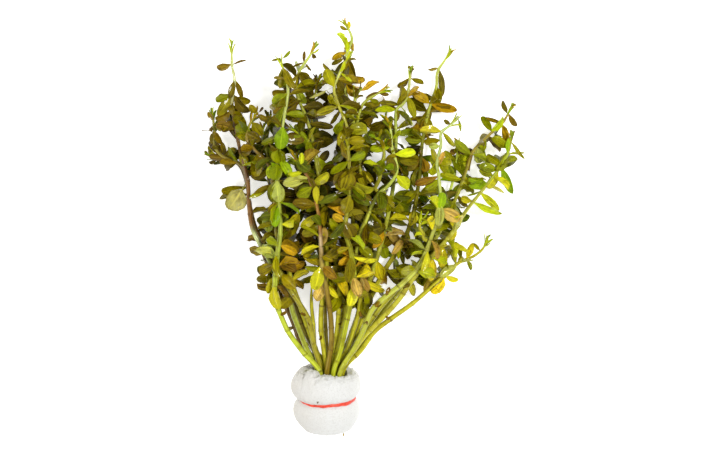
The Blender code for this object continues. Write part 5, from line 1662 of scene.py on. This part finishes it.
def makePlants():
    leafFinish, stemFinish = makeLeafTissue(), makeStemTissue()
    for stem in planned.values():
        stalk = makeStalk(stem, stemFinish)
        pieces = [stalk, leavesOf(stem, leafFinish)]
        if stem.name in oldShoots:
            trace, thick, lower, scars = oldShoots[stem.name]
            fork = stem.at(stem.nearest(placed(*trace[0], stem.line[0].z)))[0]
            route = [fork] + [placed(*spot, fork.z - lower * mm) for spot in trace[1:]]
            shoot = Stem(stem.name + "_old", route, 0.0, thick * mm)
            shoot.joints = [{"at": shoot.length * share, "leaves": {}} for share in scars]
            pieces.append(makeStalk(shoot, stemFinish))
        bpy.ops.object.select_all(action="DESELECT")
        for piece in pieces:
            piece.select_set(True)
        bpy.context.view_layer.objects.active = stalk
        bpy.ops.object.join()
        plant = bpy.context.active_object
        plant.name = "leafy_" + stem.name
        plant.data.name = plant.name
        bpy.ops.object.shade_smooth_by_angle(angle=radians(50))
        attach(plant, "root")
        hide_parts(stem.name)
    plants = [piece for piece in bpy.data.objects if piece.name.startswith("leafy_")]
    print("plants made,", sum(len(plant.data.polygons) for plant in plants), "faces")


makePlants()


# foam strip

foam = {
    # place along Y, outer radius, middle along X, in mm, from the rim by the leaves to the cut ends
    "profile": [(10.0, 12.6, 1.6), (9.8, 14.3, 1.3), (8.4, 16.0, 1.0), (6.4, 17.2, 0.5), (4.2, 17.8, 0.2),
        (1.6, 18.0, 0.1), (-0.8, 17.7, 0.2), (-2.6, 16.9, 0.3), (-3.9, 15.8, 0.5), (-4.6, 14.9, 0.6),
        (-5.1, 14.4, 0.7), (-5.7, 14.9, 0.6), (-6.6, 16.0, 0.5), (-8.4, 17.0, 0.4), (-10.8, 17.4, 0.4),
        (-13.4, 17.2, 0.5), (-16.0, 16.3, 0.6), (-18.4, 14.9, 0.7), (-20.4, 13.3, 0.8), (-21.6, 12.0, 0.9),
        (-22.0, 11.0, 1.0)],
    "bore": [(-21.4, 9.8), (-19.0, 9.6), (-6.0, 9.4), (6.0, 9.2), (9.2, 9.4)],
    "mouth": (8.7 * mm, 8.1 * mm),  # half width and half height where it hugs the stems
    "sides": 64,
    "squash": 0.97, "height": 15.6 * mm, "sink": 0.5 * mm, "sinkRun": 12 * mm,
    "lumps": (9 * mm, 0.9 * mm), "crumbs": (1.1 * mm, 0.34 * mm),  # size and height
    "rimTilt": 1.5 * mm, "endLift": 2.2 * mm, "stripEnd": radians(134),
    # the strip's end: it rises before the end and falls at it, each from an angle and over another
    "rise": (radians(26), radians(10)), "fall": (radians(2), radians(7)),
    "step": 0.6 * mm, "shrink": 0.2 * mm, "crease": 0.7 * mm, "creaseWide": radians(5),
    "outside": 12.5 * mm, "inside": 10.6 * mm,  # radii of what is outer or bore wall
    "wornFrom": (1 * mm, 5 * mm), "rimFrom": (3.5 * mm, 6 * mm),  # place along Y, and run
    "pinch": (0.35 * mm, 5.1 * mm, 5 * mm),  # slant of the pinch, its place and width
    "ragged": (1.1 * mm, 0.9 * mm),
    "white": "#D6D6D3", "shade": "#BCB3A4", "pore": "#B4B1A8",
    "broad": 11 * mm, "pores": 0.7 * mm, "relief": 0.4 * mm,
    "shadeFrom": (-16 * mm, 2 * mm, 0.95, 0.0), "pits": (0.34, 0.5, 0.45, 0.0),
}


def foamMiddle(y):
    # the lower lobe is thinner, and so lies a little lower
    return foam["height"] - foam["sink"] * smooth(-y / foam["sinkRun"])


def makeFoamFinish():
    # Open-cell foam cut with a blade: matt, nearly white, with fine pits that hold a little shade, and
    # painted shade on its left side in broad patches.
    finish, add, shader = newFinish("cutWhiteFoam", Roughness=0.95, IOR=1.4, Subsurface_Weight=0.25,
                                     Subsurface_Radius=(1.0, 1.0, 0.95), Subsurface_Scale=1.2 * mm,
                                     Sheen_Weight=0.25, Sheen_Roughness=0.6)
    place = add("TexCoord", output="Object")
    broad = add("TexNoise", {"Vector": place, "Scale": 1 / foam["broad"], "Detail": 2.0})
    pores = add("TexNoise", {"Vector": place, "Scale": 1 / foam["pores"], "Detail": 5.0, "Roughness": 0.7})
    # painted shade: the shade colour on the left side, in broad patches, as if turned from the light
    side = add("SeparateXYZ", {0: place}, "X")
    left = add("MapRange", {0: side, **dict(enumerate(foam["shadeFrom"], 1))})
    warm = add("Math", {0: broad, 1: left}, operation="MULTIPLY")
    pits = add("MapRange", {0: pores, **dict(enumerate(foam["pits"], 1))})
    skin = opaque(foam["white"])
    for share, layer in ((warm, "shade"), (pits, "pore")):
        skin = add("Mix", {0: share, 6: skin, 7: opaque(foam[layer])}, 2, data_type="RGBA")
    bump = add("Bump", {"Strength": 0.7, "Distance": foam["relief"], "Height": pores})
    linkTo(shader, Base_Color=skin, Normal=bump)
    return finish


def makeFoam():
    # a ring pulled along the profile, back through the bore, and bridged
    rings = [(y * mm, r * mm, x * mm, foam["squash"], foamMiddle(y * mm)) for y, r, x in foam["profile"]]
    for y, r in foam["bore"]:
        middle = bundleMiddle(y * mm)
        rings.append((y * mm, r * mm, middle.x, 1.0, middle.z))
    y, r, x, squash, z = rings[0]
    bpy.ops.mesh.primitive_circle_add(vertices=foam["sides"], radius=r, location=(x, y, z),
                                      rotation=(pi / 2, 0, 0))
    piece = bpy.context.active_object
    piece.name = "foam_strip"
    bpy.ops.object.transform_apply(location=True, rotation=True, scale=True)
    bpy.ops.object.mode_set(mode="EDIT")
    bpy.ops.transform.resize(value=(1, 1, squash), center_override=(x, y, z))
    for (y0, r0, x0, squash0, z0), (y1, r1, x1, squash1, z1) in zip(rings, rings[1:]):
        bpy.ops.mesh.extrude_edges_move(TRANSFORM_OT_translate={"value": (x1 - x0, y1 - y0, z1 - z0)})
        bpy.ops.transform.resize(value=(r1 / r0, 1, r1 * squash1 / (r0 * squash0)),
                                 center_override=(x1, y1, z1))
    bpy.ops.mesh.select_all(action="DESELECT")
    bpy.ops.mesh.select_non_manifold()
    bpy.ops.mesh.bridge_edge_loops()
    bpy.ops.object.mode_set(mode="OBJECT")
    mergedAndOutward(piece)
    applied(piece, "SUBSURF", levels=2, render_levels=2)
    for name in ("lumps", "crumbs"):
        size, height = foam[name]
        clouds = bpy.data.textures.new(name, "CLOUDS")
        clouds.noise_scale, clouds.noise_depth = size, 3
        applied(piece, "DISPLACE", texture=clouds, strength=height, mid_level=0.55, texture_coords="LOCAL")
    for vertex in piece.data.vertices:
        p = vertex.co
        angle = atan2(p.z - foamMiddle(p.y), p.x)
        # the rolled strip ends beside the stems, in a step
        past = angle - foam["stripEnd"]
        edge = smooth((past + foam["rise"][0]) / foam["rise"][1])
        edge *= 1 - smooth((past + foam["fall"][0]) / foam["fall"][1])
        worn, rim = [smooth((p.y - start) / run) for start, run in (foam["wornFrom"], foam["rimFrom"])]
        out = Vector((cos(angle), 0, sin(angle)))
        radius = hypot(p.x, p.z - foamMiddle(p.y))
        if radius > foam["outside"]:
            crease = exp(-(past / foam["creaseWide"]) ** 2)
            p = p + out * (foam["step"] * edge - foam["shrink"] - foam["crease"] * crease) * worn
        middle = bundleMiddle(p.y)
        inner = Vector((p.x - middle.x, 0, p.z - middle.z))
        if inner.length < foam["inside"]:
            halfWide, halfHigh = foam["mouth"]
            turned = inner.normalized()
            hug = ((abs(turned.x) / halfWide) ** 3 + (abs(turned.z) / halfHigh) ** 3) ** (-1 / 3)
            p = p + turned * (hug - inner.length) * rim
        lift = foam["endLift"] * edge - foam["rimTilt"] * max(cos(angle), 0.0)
        size, height = foam["ragged"]
        lift += height * noise.noise(p / size) * (1.0 + noise.noise(p / (3 * size)))
        p = p + Vector((0, lift * rim, 0))
        slant, place, wide = foam["pinch"]
        p = p + Vector((0, slant * cos(angle) * exp(-((p.y + place) / wide) ** 2), 0))
        vertex.co = (p.x, p.y, max(p.z, 0.05 * mm))
    bpy.ops.object.shade_smooth_by_angle(angle=radians(70))
    piece.data.materials.append(makeFoamFinish())
    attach(piece, "root")
    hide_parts("foam_wrap")
    print("foam made,", len(piece.data.polygons), "faces")


makeFoam()


# bits of leaf that stick to the foam: place, direction, length and width in mm, tint

crumbs = [
    ((-3.6, -3.2, 31.6), (0.1, 1, 0.25), 2.2, 0.9, "brown"),
    ((9.4, -21.6, 21.5), (-0.15, -1, 0.0), 2.4, 0.8, "amber"),
]
crumbShape = {"curl": 0.2, "wilt": 0.3, "marks": (0.0, 0.6, 0.5, 1.0)}


def makeCrumbs():
    chance = random.Random(seeds["crumbs"])
    points, faces, flat, tints, marks = [], [], [], [], []
    for place, way, length, width, tint in crumbs:
        reach = Vector(way).normalized()
        start = len(points)
        leaf = newLeaf(Vector(place) * mm, reach, squared(Vector((0, 0, 1)), reach), length * mm, width * mm,
                       crumbShape["curl"])
        points += bentLeaf(leaf, chance, crumbShape["wilt"])
        faces += [tuple(start + v for v in face) for face in blankFaces]
        tints += [opaque(leafTints[tint])] * len(blankPoints)
        marks += [crumbShape["marks"]] * len(blankPoints)
        flat += [blankMap[i] for i in range(len(blankPoints))]
    piece = paintedMesh("leaf_crumbs", points, faces, flat, tints, marks, bpy.data.materials["wetLeafTissue"])
    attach(piece, "root")
    print("crumbs made")


makeCrumbs()


# rubber band

band = {
    "place": -5.1 * mm, "middle": 0.95 * mm, "radius": 14.2 * mm, "high": 1.03, "thick": 0.6 * mm,
    "sides": (120, 12),  # around the foam, and around the rubber
    "wide": 1.25,  # along Y beside its thickness
    "tilt": 0.4 * mm,  # its right side lies nearer to the leaves
    # how its width and its place change around the foam: share or size, waves, phase
    "wider": (0.3, (0.12, 9), (0.1, 23)), "shifts": ((0.2 * mm, 5, 1), (0.12 * mm, 14, 0)),
    "tint": "#F0492B", "dark": "#C9331C",
    "rub": 1.6 * mm, "rubbed": (0.4, 0.62), "relief": 0.1 * mm,
}


def makeBandFinish():
    # Natural rubber, dyed coral: smooth and slightly tacky, so broad dull highlights.
    finish, add, shader = newFinish("coralRubber", IOR=1.52, Roughness=0.45, Coat_Weight=0.0)
    place = add("TexCoord", output="Object")
    rub = add("TexNoise", {"Vector": place, "Scale": 1 / band["rub"], "Detail": 3.0})
    skin = add("ValToRGB", {0: rub})
    ends = skin.node.color_ramp.elements
    for end, position, tint in zip(ends, band["rubbed"], ("dark", "tint")):
        end.position, end.color = position, opaque(band[tint])
    bump = add("Bump", {"Strength": 0.3, "Distance": band["relief"], "Height": rub})
    linkTo(shader, Base_Color=skin, Normal=bump)
    return finish


def makeBand():
    centre = (band["middle"], band["place"], foamMiddle(band["place"]))
    bpy.ops.mesh.primitive_torus_add(major_segments=band["sides"][0], minor_segments=band["sides"][1],
                                     major_radius=band["radius"], minor_radius=band["thick"],
                                     rotation=(pi / 2, 0, 0), location=centre)
    piece = bpy.context.active_object
    piece.name = "coral_band"
    bpy.ops.object.transform_apply(location=True, rotation=True, scale=True)
    bpy.ops.object.mode_set(mode="EDIT")
    bpy.ops.transform.resize(value=(1, band["wide"], band["high"]), center_override=centre)
    bpy.ops.object.mode_set(mode="OBJECT")
    right, *swells = band["wider"]
    for vertex in piece.data.vertices:
        p = vertex.co
        angle = atan2(p.z - centre[2], p.x - centre[0])
        wider = 1 + right * cos(angle)
        for share, waves in swells:
            wider += share * sin(waves * angle)
        shift = band["tilt"] * cos(angle)
        for size, waves, phase in band["shifts"]:
            shift += size * sin(waves * angle + phase)
        p.y = centre[1] + (p.y - centre[1]) * wider + shift
    mergedAndOutward(piece)
    bpy.ops.object.shade_smooth()
    piece.data.materials.append(makeBandFinish())
    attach(piece, "root")
    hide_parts("rubber_band")
    print("band made")


makeBand()


# floor and lights

studio = {
    "floor": "#F7F7F5", "floorGlow": 0.62, "floorWide": 6,  # a white table lit from below
    "air": "#FFFFFF", "airLight": 0.6,
    "target": Vector((0.015, 0.08, 0.0)),
    # name: place in metres, width, power in watts
    "lamps": {"right": ((0.42, 0.36, 1.0), 0.22, 8.5), "left": ((-0.7, -0.1, 0.85), 0.6, 4.0)},
}


def makeStudio():
    bpy.ops.mesh.primitive_plane_add(size=studio["floorWide"], location=(0, 0, 0))
    floor = bpy.context.active_object
    floor.name = "floor"
    pale = opaque(studio["floor"])
    finish, *rest = newFinish("paleMattTable", Roughness=0.9, Emission_Strength=studio["floorGlow"],
                                     Base_Color=pale, Emission_Color=pale)
    floor.data.materials.append(finish)
    floor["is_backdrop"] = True
    world = bpy.data.worlds.new("softRoom")
    world.use_nodes = True
    air = world.node_tree.nodes["Background"]
    air.inputs["Color"].default_value = opaque(studio["air"])
    air.inputs["Strength"].default_value = studio["airLight"]
    bpy.context.scene.world = world
    for name, (place, width, power) in studio["lamps"].items():
        lamp = bpy.data.lights.new(name, "AREA")
        lamp.shape, lamp.size, lamp.energy = "DISK", width, power
        holder = bpy.data.objects.new(name, lamp)
        bpy.context.collection.objects.link(holder)
        holder.location = place
        holder.rotation_mode = "QUATERNION"
        holder.rotation_quaternion = (Vector(place) - studio["target"]).to_track_quat("Z", "Y")
    bpy.context.scene.view_settings.view_transform = "Standard"
    print("studio made")


makeStudio()

boxes = [[list(corner) for corner in box] for box in (cadBox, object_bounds())]
inMm = [[[round(x / mm, 1) for x in corner] for corner in box] for box in boxes]
print("CAD box and visual box in mm:", inMm)
